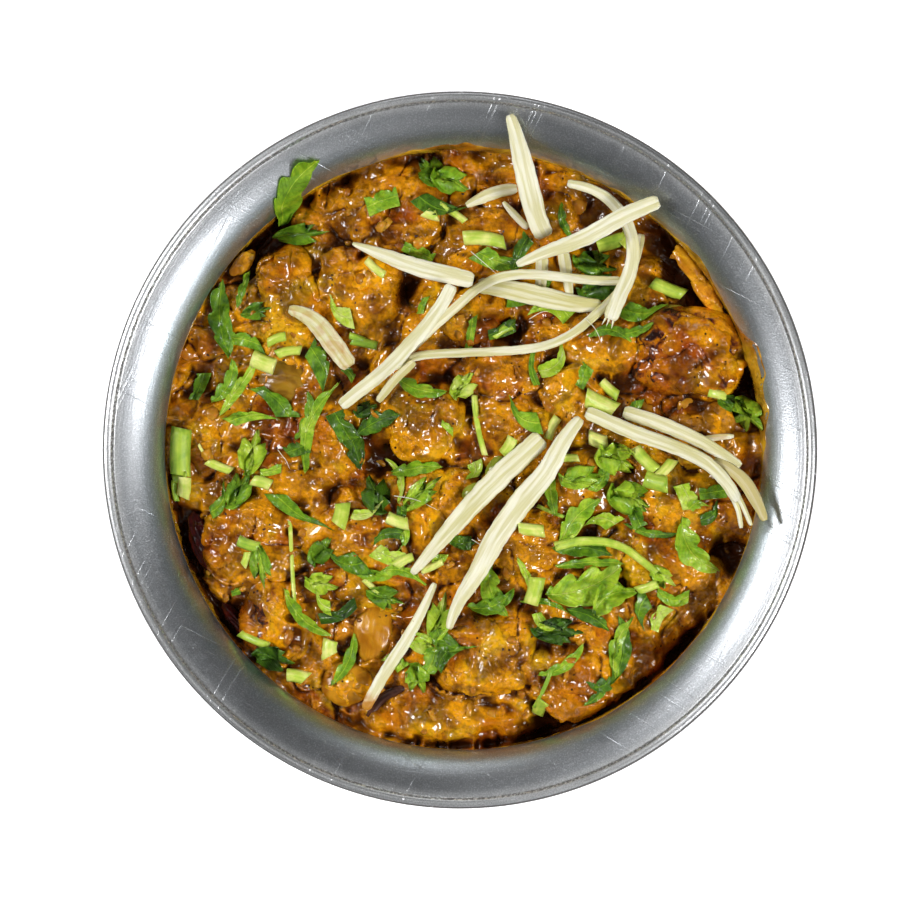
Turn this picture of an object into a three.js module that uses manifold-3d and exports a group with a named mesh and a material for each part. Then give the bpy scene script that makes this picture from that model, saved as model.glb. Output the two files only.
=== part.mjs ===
// Mutton masala in its flared steel serving bowl, topped with ginger julienne.
// Millimetres, +Z up, origin at the centre of the bowl's flat underside.
import * as THREE from "three";
import { mergeVertices } from "three/addons/utils/BufferGeometryUtils.js";
import Module from "manifold-3d";

const wasm = await Module();
wasm.setup();

// ---- Driving dimensions ----

const GAP = 0.3; // clearance between neighbouring pieces

// Bowl: a spun steel pot with a flat base, a gentle belly, a neck and a trumpet flare.
const RIM_RADIUS = 80;
const BOWL_HEIGHT = 64;
const WALL = 1.2;
const FLOOR = 1.4;
const BASE_RADIUS = 40; // inside, where the floor turns up into the wall
const BELLY_RADIUS = 69.4; // inside, at the widest part below the neck
const BELLY_HEIGHT = 34;
const NECK_RADIUS = 67.6; // inside, at the foot of the flare
const NECK_HEIGHT = 53;
const BEAD_RADIUS = 1.15; // rolled edge
const FLARE_DROP = 1.3; // from the top of the rolled edge to the flare's lip
const FLARE_SWEEP = 0.4 * Math.PI; // how far the flare turns from upright
const BOWL_SIDES = 32;

// Gravy: a thick onion and tomato masala, filled up to just under the neck.
const GRAVY_LEVEL = 48.3;
const GRAVY_RELIEF = 1.1;
const GRAVY_WAVE = 0.16; // radians of wave for each millimetre
const GRAVY_SHOULDER = 45; // below it the gravy follows the wall closely
const GRAVY_RINGS = [67.2, 62, 53, 42, 30, 16, 0];
const HEAP = 2.4; // how far the masala is heaped up round each piece of mutton
const HEAP_REACH = 1.3; // in half sizes of the piece

// Hollows between the pieces where dark oil gathers: x, y, reach, depth.
const HOLLOWS = [
  [31, 53, 10, 4.5],
  [-42, 46, 7, 4],
  [50, 41, 6, 3.5],
  [-12, 36, 4, 3],
  [12, 28, 4, 3],
  [63, 14, 4, 3],
  [-17, -3, 5, 3],
  [61, -24, 5, 3.5],
  [40, -28, 4, 2.5],
  [49, -44, 6, 3.5],
  [-50, -39, 4, 3],
  [-3, -50, 5, 2.5],
  [18, -62, 5, 3],
  [-60, -20, 6, 3],
  [-60, 14, 5, 2.5],
];

// Lumps: place of the middle, half sizes, turn about the vertical in degrees.
// Mutton is block shaped with a rough skin.
const MUTTON = [
  { at: [-15, 53, 48.6], half: [11, 9, 7.2], turn: 12 },
  { at: [-23, 37, 48.8], half: [10.5, 8.6, 7], turn: -15 },
  { at: [-39, 36.5, 47.8], half: [7, 9.5, 6.8], turn: 20 },
  { at: [2.5, 46, 47.4], half: [9, 6.2, 6], turn: 8 },
  { at: [4, 30.5, 47.8], half: [8.8, 6, 6], turn: 24 },
  { at: [-9.5, 31.5, 46.4], half: [4.6, 7.2, 6], turn: -8 },
  { at: [51.5, 21, 49.2], half: [12.5, 9.4, 7.5], turn: -18 },
  { at: [56.5, 3.5, 48], half: [8, 8, 6.5], turn: 10 },
  { at: [32, 23, 47.8], half: [8.6, 6, 5.8], turn: -10 },
  { at: [7.5, 17.5, 47.4], half: [10.4, 5, 6], turn: 4 },
  { at: [11.5, 5.5, 47.8], half: [9, 7.2, 6], turn: -20 },
  { at: [25, 12, 47.4], half: [7, 7, 5.8], turn: 30 },
  { at: [-8, 7, 48.2], half: [7.8, 9.6, 6.6], turn: 6 },
  { at: [-5, -11, 47.4], half: [8, 7.4, 6], turn: -25 },
  { at: [-31, 4.5, 47.4], half: [5.8, 9.4, 6], turn: -12 },
  { at: [-26, -18, 47.9], half: [10, 6.8, 6.2], turn: 18 },
  { at: [-49.5, -21, 48.2], half: [10, 9.6, 6.6], turn: 10 },
  { at: [-42, -39, 47.9], half: [9, 8.6, 6.6], turn: -30 },
  { at: [4, -46.5, 48.8], half: [13, 9.4, 7], turn: 8 },
  { at: [-2, -60, 47.2], half: [10, 5, 5.6], turn: 2 },
  { at: [25.5, -52, 48], half: [9.8, 7.8, 6.6], turn: 20 },
  { at: [30, -36, 47.9], half: [9, 7.2, 6.2], turn: -14 },
  { at: [45.5, -26, 47.4], half: [9.4, 6.2, 5.8], turn: 16 },
  { at: [48.5, -11.5, 48], half: [8.4, 6.8, 6], turn: -8 },
  { at: [14.5, -21.5, 47.5], half: [8.4, 7.2, 6], turn: 28 },
  { at: [26.5, -8.5, 47.2], half: [8, 5.4, 5.6], turn: -22 },
  { at: [-41, -6.5, 47.2], half: [8.4, 6.2, 5.8], turn: 14 },
];
const ONION = [
  { at: [-40, 15.5, 48.4], half: [6.6, 5.4, 3], turn: -12 },
  { at: [-20, -41.5, 48.6], half: [5, 6.8, 3.2], turn: -8 },
  { at: [-26.5, -53, 48.2], half: [6, 5.4, 3], turn: 14 },
  { at: [42.5, 9.5, 48.2], half: [5.4, 2.4, 2.4], turn: -30 },
];
const CRUMBS = [
  { at: [-49.4, 42.8, 51], half: [5, 2, 1.6], turn: 46 },
  { at: [53.6, 38, 51], half: [9, 2, 2], turn: -56 },
];
const CHILLI = [
  { at: [-59.4, -21.4, 48.6], half: [2.6, 7, 2.4], turn: 21 },
  { at: [-52, -38.5, 48.2], half: [1.7, 4.6, 1.7], turn: 38 },
];
const LUMP_SIDES = 11;
const LUMP_RINGS = [0, 26, 50, 74, 104, 180]; // degrees down from the top
const SMALL_SIDES = 9;
const SMALL_RINGS = [0, 34, 66, 98, 180];

// A curved whole spice, round in section.
const SPICE_PATH = [[-21.4, -60.4], [-18.6, -56.6], [-15.2, -54.6], [-12.6, -53.8]];
const SPICE_RADIUS = 1.15;

// Ginger julienne, listed from the lowest to the highest: the run of each strip seen
// from above, and its widths at the start, middle and end.
const GINGER = [
  { path: [[18.3, 43.8], [18.1, 40], [17.8, 35.7]], width: [2.6, 2.8, 2.4] },
  { path: [[23, 44.7], [23.6, 39.5], [24.5, 34.4]], width: [2.9, 2.6, 1.6] },
  { path: [[1.1, 55.2], [5.3, 57.4], [9.3, 59], [12.4, 59.2]], width: [1.6, 2.8, 2.2] },
  { path: [[9.4, 56], [12, 52.9], [15, 50]], width: [1, 1.7, 1.4] },
  {
    path: [[11.8, 74.6], [13.6, 69.2], [14.5, 64], [15.5, 60.7], [16.5, 55], [17.3, 50.7], [19, 48]],
    width: [2.2, 4.6, 4.2],
  },
  {
    path: [[4, 37.1], [10.5, 36.2], [18.3, 34.4], [23.5, 33.3], [28.5, 32.4], [31.5, 32.6]],
    width: [3.4, 4.6, 2.6],
  },
  {
    path: [[-11.7, 21.9], [-6.7, 27.2], [-0.5, 32.4], [4.4, 36.8], [10.5, 39.3], [20.7, 39.1],
      [28.5, 38.2], [36.1, 38]],
    width: [1.9, 2.2, 2],
  },
  { path: [[-24, 46.4], [-18, 44.2], [-10, 41.1], [-2.5, 39.3], [3.4, 38]], width: [0.9, 4, 3.4] },
  { path: [[-27, 10], [-20.4, 15.2], [-14, 20.3], [-9, 25.9], [-3.8, 31.9], [-1.2, 36.8]],
    width: [2.8, 3.2, 2.8] },
  { path: [[-10, 19.9], [-14, 16.5], [-16.8, 13.8], [-18.6, 10.9]], width: [1.8, 2.1, 1.6] },
  {
    path: [[40.5, 48.7], [39.5, 43], [36, 35.7], [32, 32], [28.5, 28.6], [23.5, 25], [18.3, 23.2],
      [10.5, 22.3], [-2.3, 21.7], [-11.5, 20.8], [-15.2, 18.3]],
    width: [1.8, 2.1, 1.8],
  },
  {
    path: [[24.3, 59.8], [30.6, 58.3], [35, 54.9], [37.7, 51.1], [39, 46.2], [38.8, 41.1],
      [37, 37.1], [34.8, 32.4], [33.7, 29.3]],
    width: [2, 2.8, 3.6],
  },
  { path: [[45, 55.2], [37.3, 52.3], [28, 47.3], [20, 44.7], [13, 41.5]], width: [3.2, 3.8, 1.6] },
  { path: [[-38.7, 31.7], [-33, 30.1], [-30.6, 25.9], [-26.8, 21.4], [-25.3, 18.8]],
    width: [2.2, 4.4, 3.8] },
  { path: [[18.5, 2.7], [8, -6.7], [-2.3, -17.9], [-11.2, -27.9]], width: [4.2, 4.8, 1.6] },
  {
    path: [[27.2, 7.1], [23.4, 2.5], [19.6, -5.4], [15.6, -9.4], [11.8, -14.5], [8, -19.7],
      [4.2, -27.2], [-0.9, -34.8], [-2.5, -40.2]],
    width: [2.4, 5.2, 1.6],
  },
  { path: [[53.1, 2], [57.3, 3], [61.4, 3.1]], width: [1.4, 1.5, 1] },
  { path: [[57.1, -2.2], [62, -4.5], [65, -8.5], [67.2, -12.1], [68.5, -15.6]],
    width: [1.6, 3, 1.6] },
  { path: [[36.6, 8.7], [43.9, 6.3], [51.8, 3.1], [57, 0.4], [63, -3.6]], width: [3, 3.2, 2] },
  {
    path: [[28.5, 8.5], [38.8, 4], [46.6, 1.3], [54.2, -1.8], [58.2, -4.9], [61.4, -9.4],
      [64, -14.5], [64.3, -17]],
    width: [3, 3.2, 2],
  },
  { path: [[-6.1, -30.1], [-10.1, -38.9], [-14, -45.3], [-18, -51.4], [-21.7, -58.5]],
    width: [1.4, 2.8, 2.4] },
];
const GINGER_THICKNESS = 0.45; // share of the width
const GINGER_THICKEST = 1.5;
const GINGER_STEP = 5.2; // length of a straight facet along a strip
const GINGER_BEND = 0.024; // how sharply a strip can bend over what holds it up, per mm
const REST_CLEARANCE = 0.4;
const RELIEF_CELL = 0.8; // grid of the height map on which the strips are laid

// ---- Materials ----

function finish(color, roughness, metalness = 0) {
  return new THREE.MeshStandardMaterial({ color, roughness, metalness });
}

const STEEL = finish(0xb4b8bb, 0.34, 1);
const GRAVY_SKIN = finish(0xb4620f, 0.3);
const MUTTON_SKIN = finish(0xa8581a, 0.4);
const ONION_SKIN = finish(0xb98a2a, 0.25);
const CRUMB_SKIN = finish(0xc06318, 0.55);
const CHILLI_SKIN = finish(0x35090c, 0.2);
const SPICE_SKIN = finish(0x2a1510, 0.35);
const GINGER_FLESH = finish(0xece6c0, 0.5);

// ---- Shared geometry ----

// Five sine waves along seeded directions, added up to a value between -1 and 1.
function waves(x, y, z, seed) {
  let sum = 0;
  for (let k = 0; k < 5; k += 1) {
    const round = 2.4 * k + 1.7 * seed;
    const rise = 1.1 * k + 0.9 * seed;
    const flat = Math.cos(rise);
    const along = flat * (Math.cos(round) * x + Math.sin(round) * y) + Math.sin(rise) * z;
    sum += Math.sin((1 + 0.3 * k) * along + 5.3 * k + seed);
  }
  return sum / 5;
}

function solid(geometry) {
  const bare = geometry.clone();
  bare.deleteAttribute("normal");
  bare.deleteAttribute("uv");
  const merged = mergeVertices(bare, 1e-3);
  return new wasm.Manifold(
    new wasm.Mesh({
      numProp: 3,
      vertProperties: merged.attributes.position.array,
      triVerts: new Uint32Array(merged.index.array),
    }),
  );
}

function geometryOf(manifold) {
  const { vertProperties, triVerts } = manifold.getMesh();
  const geometry = new THREE.BufferGeometry();
  geometry.setAttribute("position", new THREE.BufferAttribute(vertProperties, 3));
  geometry.setIndex(new THREE.BufferAttribute(triVerts, 1));
  geometry.computeVertexNormals();
  return geometry;
}

// A closed body through rings of points, each ring running the same way round.
function loft(rings) {
  const size = rings[0].length;
  const index = [];
  for (let i = 0; i + 1 < rings.length; i += 1) {
    for (let j = 0; j < size; j += 1) {
      const a = i * size + j;
      const b = i * size + ((j + 1) % size);
      index.push(a, b, a + size, b, b + size, a + size);
    }
  }
  const last = (rings.length - 1) * size;
  for (let j = 1; j + 1 < size; j += 1) {
    index.push(0, j + 1, j, last, last + j, last + j + 1);
  }
  const geometry = new THREE.BufferGeometry();
  geometry.setFromPoints(rings.flat());
  geometry.setIndex(index);
  return geometry;
}

// Turns a profile of (radius, height) points round the vertical axis.
function turned(profile, sides) {
  return new THREE.LatheGeometry(profile, sides).rotateX(Math.PI / 2);
}

// ---- Bowl ----

// The inside of the bowl from the middle of its floor up to the flare's lip.
function bowlInside() {
  const points = [new THREE.Vector2(0, FLOOR)];
  const wallSteps = 4;
  for (let i = 0; i <= wallSteps; i += 1) {
    const angle = (i / wallSteps) * 0.5 * Math.PI;
    const radius = BASE_RADIUS + (BELLY_RADIUS - BASE_RADIUS) * Math.sin(angle);
    const height = BELLY_HEIGHT - (BELLY_HEIGHT - FLOOR) * Math.cos(angle);
    points.push(new THREE.Vector2(radius, height));
  }
  const middle = 0.5 * (BELLY_RADIUS + NECK_RADIUS);
  points.push(new THREE.Vector2(middle, 0.5 * (BELLY_HEIGHT + NECK_HEIGHT)));
  const lipRadius = RIM_RADIUS - 2 * BEAD_RADIUS;
  const reach = (lipRadius - NECK_RADIUS) / (1 - Math.cos(FLARE_SWEEP));
  const rise = (BOWL_HEIGHT - FLARE_DROP - NECK_HEIGHT) / Math.sin(FLARE_SWEEP);
  const flareSteps = 4;
  for (let i = 0; i <= flareSteps; i += 1) {
    const angle = (i / flareSteps) * FLARE_SWEEP;
    const radius = NECK_RADIUS + reach * (1 - Math.cos(angle));
    points.push(new THREE.Vector2(radius, NECK_HEIGHT + rise * Math.sin(angle)));
  }
  return points;
}

// The same profile moved outwards by the distance, square to each point's run.
function moved(profile, distance) {
  return profile.map((point, i) => {
    const before = profile[Math.max(i - 1, 0)];
    const after = profile[Math.min(i + 1, profile.length - 1)];
    const run = after.clone().sub(before).normalize();
    return new THREE.Vector2(point.x + run.y * distance, point.y - run.x * distance);
  });
}

function bowlGeometry() {
  const inside = bowlInside();
  const outside = moved(inside, WALL).filter((point) => point.x > BASE_RADIUS);
  const bead = [];
  const beadSteps = 6;
  for (let i = 0; i <= beadSteps; i += 1) {
    const angle = (-0.5 + (i / beadSteps) * 1.5) * Math.PI;
    const radius = RIM_RADIUS + BEAD_RADIUS * (Math.cos(angle) - 1);
    bead.push(new THREE.Vector2(radius, BOWL_HEIGHT + BEAD_RADIUS * (Math.sin(angle) - 1)));
  }
  const base = [new THREE.Vector2(0, 0), new THREE.Vector2(BASE_RADIUS + WALL, 0)];
  outside.pop();
  return turned([...base, ...outside, ...bead, ...inside.reverse()], BOWL_SIDES);
}

// Everything that can lie inside the bowl without touching it.
function roomInside() {
  const inside = bowlInside();
  const edge = moved(inside, -GAP);
  edge[0].x = 0;
  edge.push(new THREE.Vector2(0, edge[edge.length - 1].y));
  return solid(turned(edge, BOWL_SIDES));
}

// ---- Masala ----

function gravyHeight(x, y) {
  const ripple = waves(GRAVY_WAVE * x, GRAVY_WAVE * y, 0, 3);
  const dip = HOLLOWS.reduce((sum, [atX, atY, reach, depth]) => {
    const away = ((x - atX) ** 2 + (y - atY) ** 2) / reach ** 2;
    return sum + depth * Math.exp(-away);
  }, 0);
  const heap = MUTTON.reduce((most, { at, half }) => {
    const away = ((x - at[0]) / half[0]) ** 2 + ((y - at[1]) / half[1]) ** 2;
    return Math.max(most, Math.exp(-away / HEAP_REACH ** 2));
  }, 0);
  return GRAVY_LEVEL + GRAVY_RELIEF * ripple + HEAP * heap - dip;
}

function gravyBody() {
  const under = moved(bowlInside(), -GAP).filter((point) => point.y < GRAVY_SHOULDER);
  under[0].x = 0;
  const top = GRAVY_RINGS.map((radius) => new THREE.Vector2(radius, GRAVY_LEVEL));
  const geometry = turned([...under, ...top], BOWL_SIDES);
  const place = geometry.attributes.position;
  for (let i = 0; i < place.count; i += 1) {
    if (place.getZ(i) > GRAVY_SHOULDER) {
      place.setZ(i, gravyHeight(place.getX(i), place.getY(i)));
    }
  }
  return solid(geometry);
}

// A lump of food. Its distance from the middle is that of a rounded block with softened
// corners, times one plus low waves over its skin.
function lump({ at, half, turn }, { block, rough, seed, rings, sides }, grow = 0) {
  const profile = rings.toReversed().map((degrees) => {
    const angle = THREE.MathUtils.degToRad(degrees);
    return new THREE.Vector2(Math.sin(angle), Math.cos(angle));
  });
  const geometry = turned(profile, sides);
  const place = geometry.attributes.position;
  const d = new THREE.Vector3();
  for (let i = 0; i < place.count; i += 1) {
    d.fromBufferAttribute(place, i).normalize();
    const sum = Math.abs(d.x) ** block + Math.abs(d.y) ** block + Math.abs(d.z) ** block;
    const skin = 1 + rough * waves(3 * d.x, 3 * d.y, 3 * d.z, seed);
    d.multiplyScalar(skin * sum ** (-1 / block));
    place.setXYZ(i, d.x * (half[0] + grow), d.y * (half[1] + grow), d.z * (half[2] + grow));
  }
  return geometry.rotateZ(THREE.MathUtils.degToRad(turn)).translate(...at);
}

// ---- Laying strips on the food ----

// The height of the highest surface over each cell of a square grid.
class Relief {
  constructor(reach, cell) {
    this.reach = reach;
    this.cell = cell;
    this.count = Math.ceil((2 * reach) / cell);
    this.heights = new Float64Array(this.count ** 2);
  }

  column(value) {
    return Math.floor((value + this.reach) / this.cell);
  }

  stamp(geometry) {
    const flat = geometry.index ? geometry.toNonIndexed() : geometry;
    const place = flat.attributes.position;
    const [a, b, c, p] = [0, 1, 2, 3].map(() => new THREE.Vector3());
    const share = new THREE.Vector3();
    for (let i = 0; i < place.count; i += 3) {
      a.fromBufferAttribute(place, i);
      b.fromBufferAttribute(place, i + 1);
      c.fromBufferAttribute(place, i + 2);
      const heights = [a.z, b.z, c.z];
      [a, b, c].forEach((corner) => corner.setZ(0));
      const lowX = this.column(Math.min(a.x, b.x, c.x));
      const highX = this.column(Math.max(a.x, b.x, c.x));
      const lowY = this.column(Math.min(a.y, b.y, c.y));
      const highY = this.column(Math.max(a.y, b.y, c.y));
      for (let column = lowX; column <= highX; column += 1) {
        for (let row = lowY; row <= highY; row += 1) {
          p.set(column + 0.5, row + 0.5, 0).multiplyScalar(this.cell);
          p.x -= this.reach;
          p.y -= this.reach;
          const inside = THREE.Triangle.getBarycoord(p, a, b, c, share);
          if (inside && share.x > -0.5 && share.y > -0.5 && share.z > -0.5) {
            const mix = [share.x, share.y, share.z].map((s) => THREE.MathUtils.clamp(s, 0, 1));
            const total = mix[0] + mix[1] + mix[2];
            const z = (mix[0] * heights[0] + mix[1] * heights[1] + mix[2] * heights[2]) / total;
            const cell = row * this.count + column;
            this.heights[cell] = Math.max(this.heights[cell], z);
          }
        }
      }
    }
  }

  // The highest surface within a distance of a point.
  top(x, y, distance) {
    let highest = 0;
    for (let column = this.column(x - distance); column <= this.column(x + distance); column += 1) {
      for (let row = this.column(y - distance); row <= this.column(y + distance); row += 1) {
        highest = Math.max(highest, this.heights[row * this.count + column]);
      }
    }
    return highest;
  }
}

// The underside of a strip: from every place that holds it up the strip droops as a
// parabola, and it follows the highest of them all.
function droopedHeights(samples, reaches, relief, step) {
  const props = samples.map((p, i) => relief.top(p.x, p.y, reaches[i]) + REST_CLEARANCE);
  return samples.map((_, i) =>
    props.reduce((best, prop, j) => Math.max(best, prop - GINGER_BEND * ((i - j) * step) ** 2), 0),
  );
}

function curveOf(path) {
  return new THREE.CatmullRomCurve3(path.map(([x, y]) => new THREE.Vector3(x, y, 0)));
}

// Width along a strip: a parabola through its start, middle and end widths.
function widthAt([start, middle, end], t) {
  const bulge = 4 * middle - 2 * (start + end);
  return start * (1 - t) + end * t + bulge * t * (1 - t);
}

function strip({ path, width }, relief) {
  const curve = curveOf(path);
  const length = curve.getLength();
  const facets = Math.max(2, Math.round(length / GINGER_STEP));
  const finer = 4;
  const samples = curve.getSpacedPoints(facets * finer);
  const reaches = samples.map((_, i) => 0.5 * widthAt(width, i / (facets * finer)));
  const under = droopedHeights(samples, reaches, relief, length / (facets * finer));
  const thickness = Math.min(GINGER_THICKNESS * Math.max(...width), GINGER_THICKEST);
  const rings = [];
  for (let i = 0; i <= facets; i += 1) {
    const t = i / facets;
    const middle = samples[i * finer];
    const along = curve.getTangentAt(t);
    const side = new THREE.Vector3(-along.y, along.x, 0).multiplyScalar(0.5 * widthAt(width, t));
    const low = under[i * finer];
    const high = low + thickness;
    rings.push([
      new THREE.Vector3(middle.x - side.x, middle.y - side.y, low),
      new THREE.Vector3(middle.x + side.x, middle.y + side.y, low),
      new THREE.Vector3(middle.x + 0.8 * side.x, middle.y + 0.8 * side.y, high),
      new THREE.Vector3(middle.x - 0.8 * side.x, middle.y - 0.8 * side.y, high),
    ]);
  }
  return loft(rings);
}

function spiceStick(relief) {
  const curve = curveOf(SPICE_PATH);
  const facets = 5;
  const sides = 6;
  const length = curve.getLength();
  const samples = curve.getSpacedPoints(facets);
  const reaches = samples.map(() => SPICE_RADIUS);
  const under = droopedHeights(samples, reaches, relief, length / facets);
  const rings = samples.map((middle, i) => {
    const along = curve.getTangentAt(i / facets);
    const side = new THREE.Vector3(-along.y, along.x, 0);
    const ring = [];
    for (let j = 0; j < sides; j += 1) {
      const angle = (j / sides) * 2 * Math.PI;
      const point = middle.clone().addScaledVector(side, SPICE_RADIUS * Math.cos(angle));
      point.z = under[i] + SPICE_RADIUS * (1 + Math.sin(angle));
      ring.push(point);
    }
    return ring;
  });
  return loft(rings);
}

// ---- Putting the dish together ----

const dish = new THREE.Group();

function add(name, geometry, material) {
  const mesh = new THREE.Mesh(geometry, material);
  mesh.name = name;
  dish.add(mesh);
}

function numbered(name, i) {
  return `${name}_${String(i + 1).padStart(2, "0")}`;
}

const LARGE = { rings: LUMP_RINGS, sides: LUMP_SIDES };
const SMALL = { rings: SMALL_RINGS, sides: SMALL_SIDES };
const LUMPS = [
  ...MUTTON.map((shape, i) => ({
    name: numbered("mutton", i),
    shape,
    make: { block: 2.8, rough: 0.2, seed: i + 1, ...LARGE },
    skin: MUTTON_SKIN,
  })),
  ...ONION.map((shape, i) => ({
    name: numbered("onion", i),
    shape,
    make: { block: 2.2, rough: 0.08, seed: i + 40, ...SMALL },
    skin: ONION_SKIN,
  })),
  ...CRUMBS.map((shape, i) => ({
    name: numbered("wall_crumb", i),
    shape,
    make: { block: 2.4, rough: 0.22, seed: i + 50, ...SMALL },
    skin: CRUMB_SKIN,
  })),
  ...CHILLI.map((shape, i) => ({
    name: numbered("chilli_skin", i),
    shape,
    make: { block: 2.2, rough: 0.16, seed: i + 60, ...SMALL },
    skin: CHILLI_SKIN,
  })),
];

const bowl = bowlGeometry();
add("bowl", bowl, STEEL);

const relief = new Relief(RIM_RADIUS + 2, RELIEF_CELL);
relief.stamp(bowl);

// Each lump keeps clear of the bowl and of the lumps placed before it, and the gravy
// keeps clear of them all.
const room = roomInside();
const pockets = [];
for (const { name, shape, make, skin } of LUMPS) {
  const whole = solid(lump(shape, make)).intersect(room);
  const cut = pockets.reduce((rest, pocket) => rest.subtract(pocket), whole);
  pockets.push(solid(lump(shape, make, GAP)));
  const geometry = geometryOf(cut);
  relief.stamp(geometry);
  add(name, geometry, skin);
}
const gravy = geometryOf(pockets.reduce((rest, pocket) => rest.subtract(pocket), gravyBody()));
relief.stamp(gravy);
add("masala_gravy", gravy, GRAVY_SKIN);

const stick = spiceStick(relief);
relief.stamp(stick);
add("spice_stick", stick, SPICE_SKIN);

GINGER.forEach((shape, i) => {
  const geometry = strip(shape, relief);
  relief.stamp(geometry);
  add(numbered("ginger", i), geometry, GINGER_FLESH);
});

export default dish;
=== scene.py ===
"""Mutton masala in a flared steel bowl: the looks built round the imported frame.

Shapes are worked out in millimetres as whole numpy arrays and become metres when they are
put into a mesh. The frame is +Z up, with its origin under the middle of the bowl.
"""

from __future__ import annotations

import logging
import math
from dataclasses import dataclass, field, replace
from enum import Enum

import bpy
import numpy as np
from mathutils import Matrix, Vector
from mathutils.bvhtree import BVHTree


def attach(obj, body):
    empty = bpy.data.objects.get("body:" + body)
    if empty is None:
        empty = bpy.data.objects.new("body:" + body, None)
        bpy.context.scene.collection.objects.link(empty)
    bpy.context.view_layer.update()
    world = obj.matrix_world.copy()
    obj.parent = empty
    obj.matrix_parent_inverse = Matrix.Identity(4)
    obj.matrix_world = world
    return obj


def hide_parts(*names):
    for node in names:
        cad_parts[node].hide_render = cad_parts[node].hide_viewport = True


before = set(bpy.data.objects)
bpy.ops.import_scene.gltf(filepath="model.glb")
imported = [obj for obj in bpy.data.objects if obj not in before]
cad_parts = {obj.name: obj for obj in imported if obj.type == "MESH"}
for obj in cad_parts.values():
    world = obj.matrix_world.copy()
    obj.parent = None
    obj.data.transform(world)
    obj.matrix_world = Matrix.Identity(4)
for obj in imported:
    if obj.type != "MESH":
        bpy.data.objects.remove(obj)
LOG = logging.getLogger("masala")
MM = 0.001
BODY = "root"
Array = np.ndarray
Colour = tuple[float, float, float, float]


# ---- Fields of noise ----


def waves(x: Array, y: Array, z: Array, seed: float) -> Array:
    """Adds five sine waves that run along seeded directions.

    Args:
        x, y, z: places, in units of one radian of wave.
        seed: picks the directions and phases.

    Returns:
        Values between -1 and 1.
    """
    total = np.zeros(np.broadcast(x, y, z).shape)
    for k in range(5):
        turn, rise = 2.4 * k + 1.7 * seed, 1.1 * k + 0.9 * seed
        flat = math.cos(rise)
        along = flat * (math.cos(turn) * x + math.sin(turn) * y) + math.sin(rise) * z
        total = total + np.sin((1 + 0.3 * k) * along + 5.3 * k + seed)
    return total / 5


def scramble(cells: Array, seed: int) -> Array:
    """Hashes whole-number cells (..., 3) to even random values from 0 to 1."""
    mixed = cells.astype(np.int64) @ np.array([374761393, 668265263, 1442695041])
    mixed = (mixed + seed * 69069 + 12345) & 0xFFFFFFFF
    mixed = ((mixed ^ (mixed >> 13)) * 1274126177) & 0xFFFFFFFF
    mixed = ((mixed ^ (mixed >> 15)) * 1103515245) & 0xFFFFFFFF
    return (mixed ^ (mixed >> 16)) / 0xFFFFFFFF


CORNERS = np.array([[i, j, k] for i in (0, 1) for j in (0, 1) for k in (0, 1)])
AROUND = np.array([[i, j, k] for i in (-1, 0, 1) for j in (-1, 0, 1) for k in (-1, 0, 1)])


def cloud(points: Array, size: float, seed: int, octaves: int = 3) -> Array:
    """Smooth noise: hashed lattice values blended with the fade 6t^5 - 15t^4 + 10t^3.

    Args:
        points: places (..., 3) in millimetres.
        size: width of the largest features.
        seed: picks the field.
        octaves: each further one is half as wide and half as strong.

    Returns:
        Values of about -1 to 1 and a mean of nought.
    """
    total, strength, most = np.zeros(points.shape[:-1]), 1.0, 0.0
    for octave in range(octaves):
        place = points * (2**octave / size) + 31.7 * octave
        cell = np.floor(place)
        part = place - cell
        fade = part**3 * (part * (part * 6 - 15) + 10)
        value = np.zeros(total.shape)
        for corner in CORNERS:
            share = np.prod(np.where(corner, fade, 1 - fade), axis=-1)
            value += share * scramble(cell + corner, seed + 17 * octave)
        total += strength * (2 * value - 1)
        most += strength
        strength *= 0.5
    return 1.6 * total / most


def pebbles(points: Array, size: float, seed: int) -> Array:
    """Rounded grains, one jittered in each cell of a lattice, as domes (1 - d^2)^0.5.

    Args:
        points: places (..., 3) in millimetres.
        size: width of a cell.
        seed: picks the field.

    Returns:
        0 between the grains up to 1 on top of the largest.
    """
    place = points / size
    cell = np.floor(place)
    best = np.zeros(points.shape[:-1])
    for step in AROUND:
        home = cell + step
        middle = home + stacked(*(scramble(home, seed + k) for k in range(3)))
        radius = 0.35 + 0.45 * scramble(home, seed + 5)
        away = np.sum((place - middle) ** 2, axis=-1) / radius**2
        best = np.maximum(best, np.sqrt(np.clip(1 - away, 0, 1)) * radius / 0.8)
    return best


def smooth_step(low: float, high: float, value: Array) -> Array:
    """Rises from 0 at low to 1 at high as 3t^2 - 2t^3; low may be the larger."""
    t = np.clip((value - low) / (high - low), 0, 1)
    return t * t * (3 - 2 * t)


def smooth_max(a: Array, b: Array, width: float) -> Array:
    """The larger of two heights, with a parabola of the given width where they cross."""
    share = np.clip(0.5 + 0.5 * (a - b) / width, 0, 1)
    return b + (a - b) * share + width * share * (1 - share)


# ---- Meshes ----


def stacked(*parts: Array | float) -> Array:
    """Coordinates put side by side in a new last axis."""
    return np.stack(np.broadcast_arrays(*parts), axis=-1)


def full_turn(count: int) -> Array:
    """Angles spaced evenly round a circle."""
    return np.linspace(0, 2 * math.pi, count, endpoint=False)


def around(radius: Array, turn: Array, height: Array) -> Array:
    """Points at a radius, a turn and a height, put together as (..., 3)."""
    return stacked(radius * np.cos(turn), radius * np.sin(turn), height)


def turned(x: Array, y: Array, degrees: float) -> tuple[Array, Array]:
    """Places seen from above, turned about the origin."""
    cos, sin = math.cos(math.radians(degrees)), math.sin(math.radians(degrees))
    return cos * x - sin * y, sin * x + cos * y


def headings(line: Array) -> Array:
    """The unit directions of a line (n, k) at its points."""
    run = np.gradient(line, axis=0)
    return run / (np.linalg.norm(run, axis=1, keepdims=True) + 1e-9)


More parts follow.
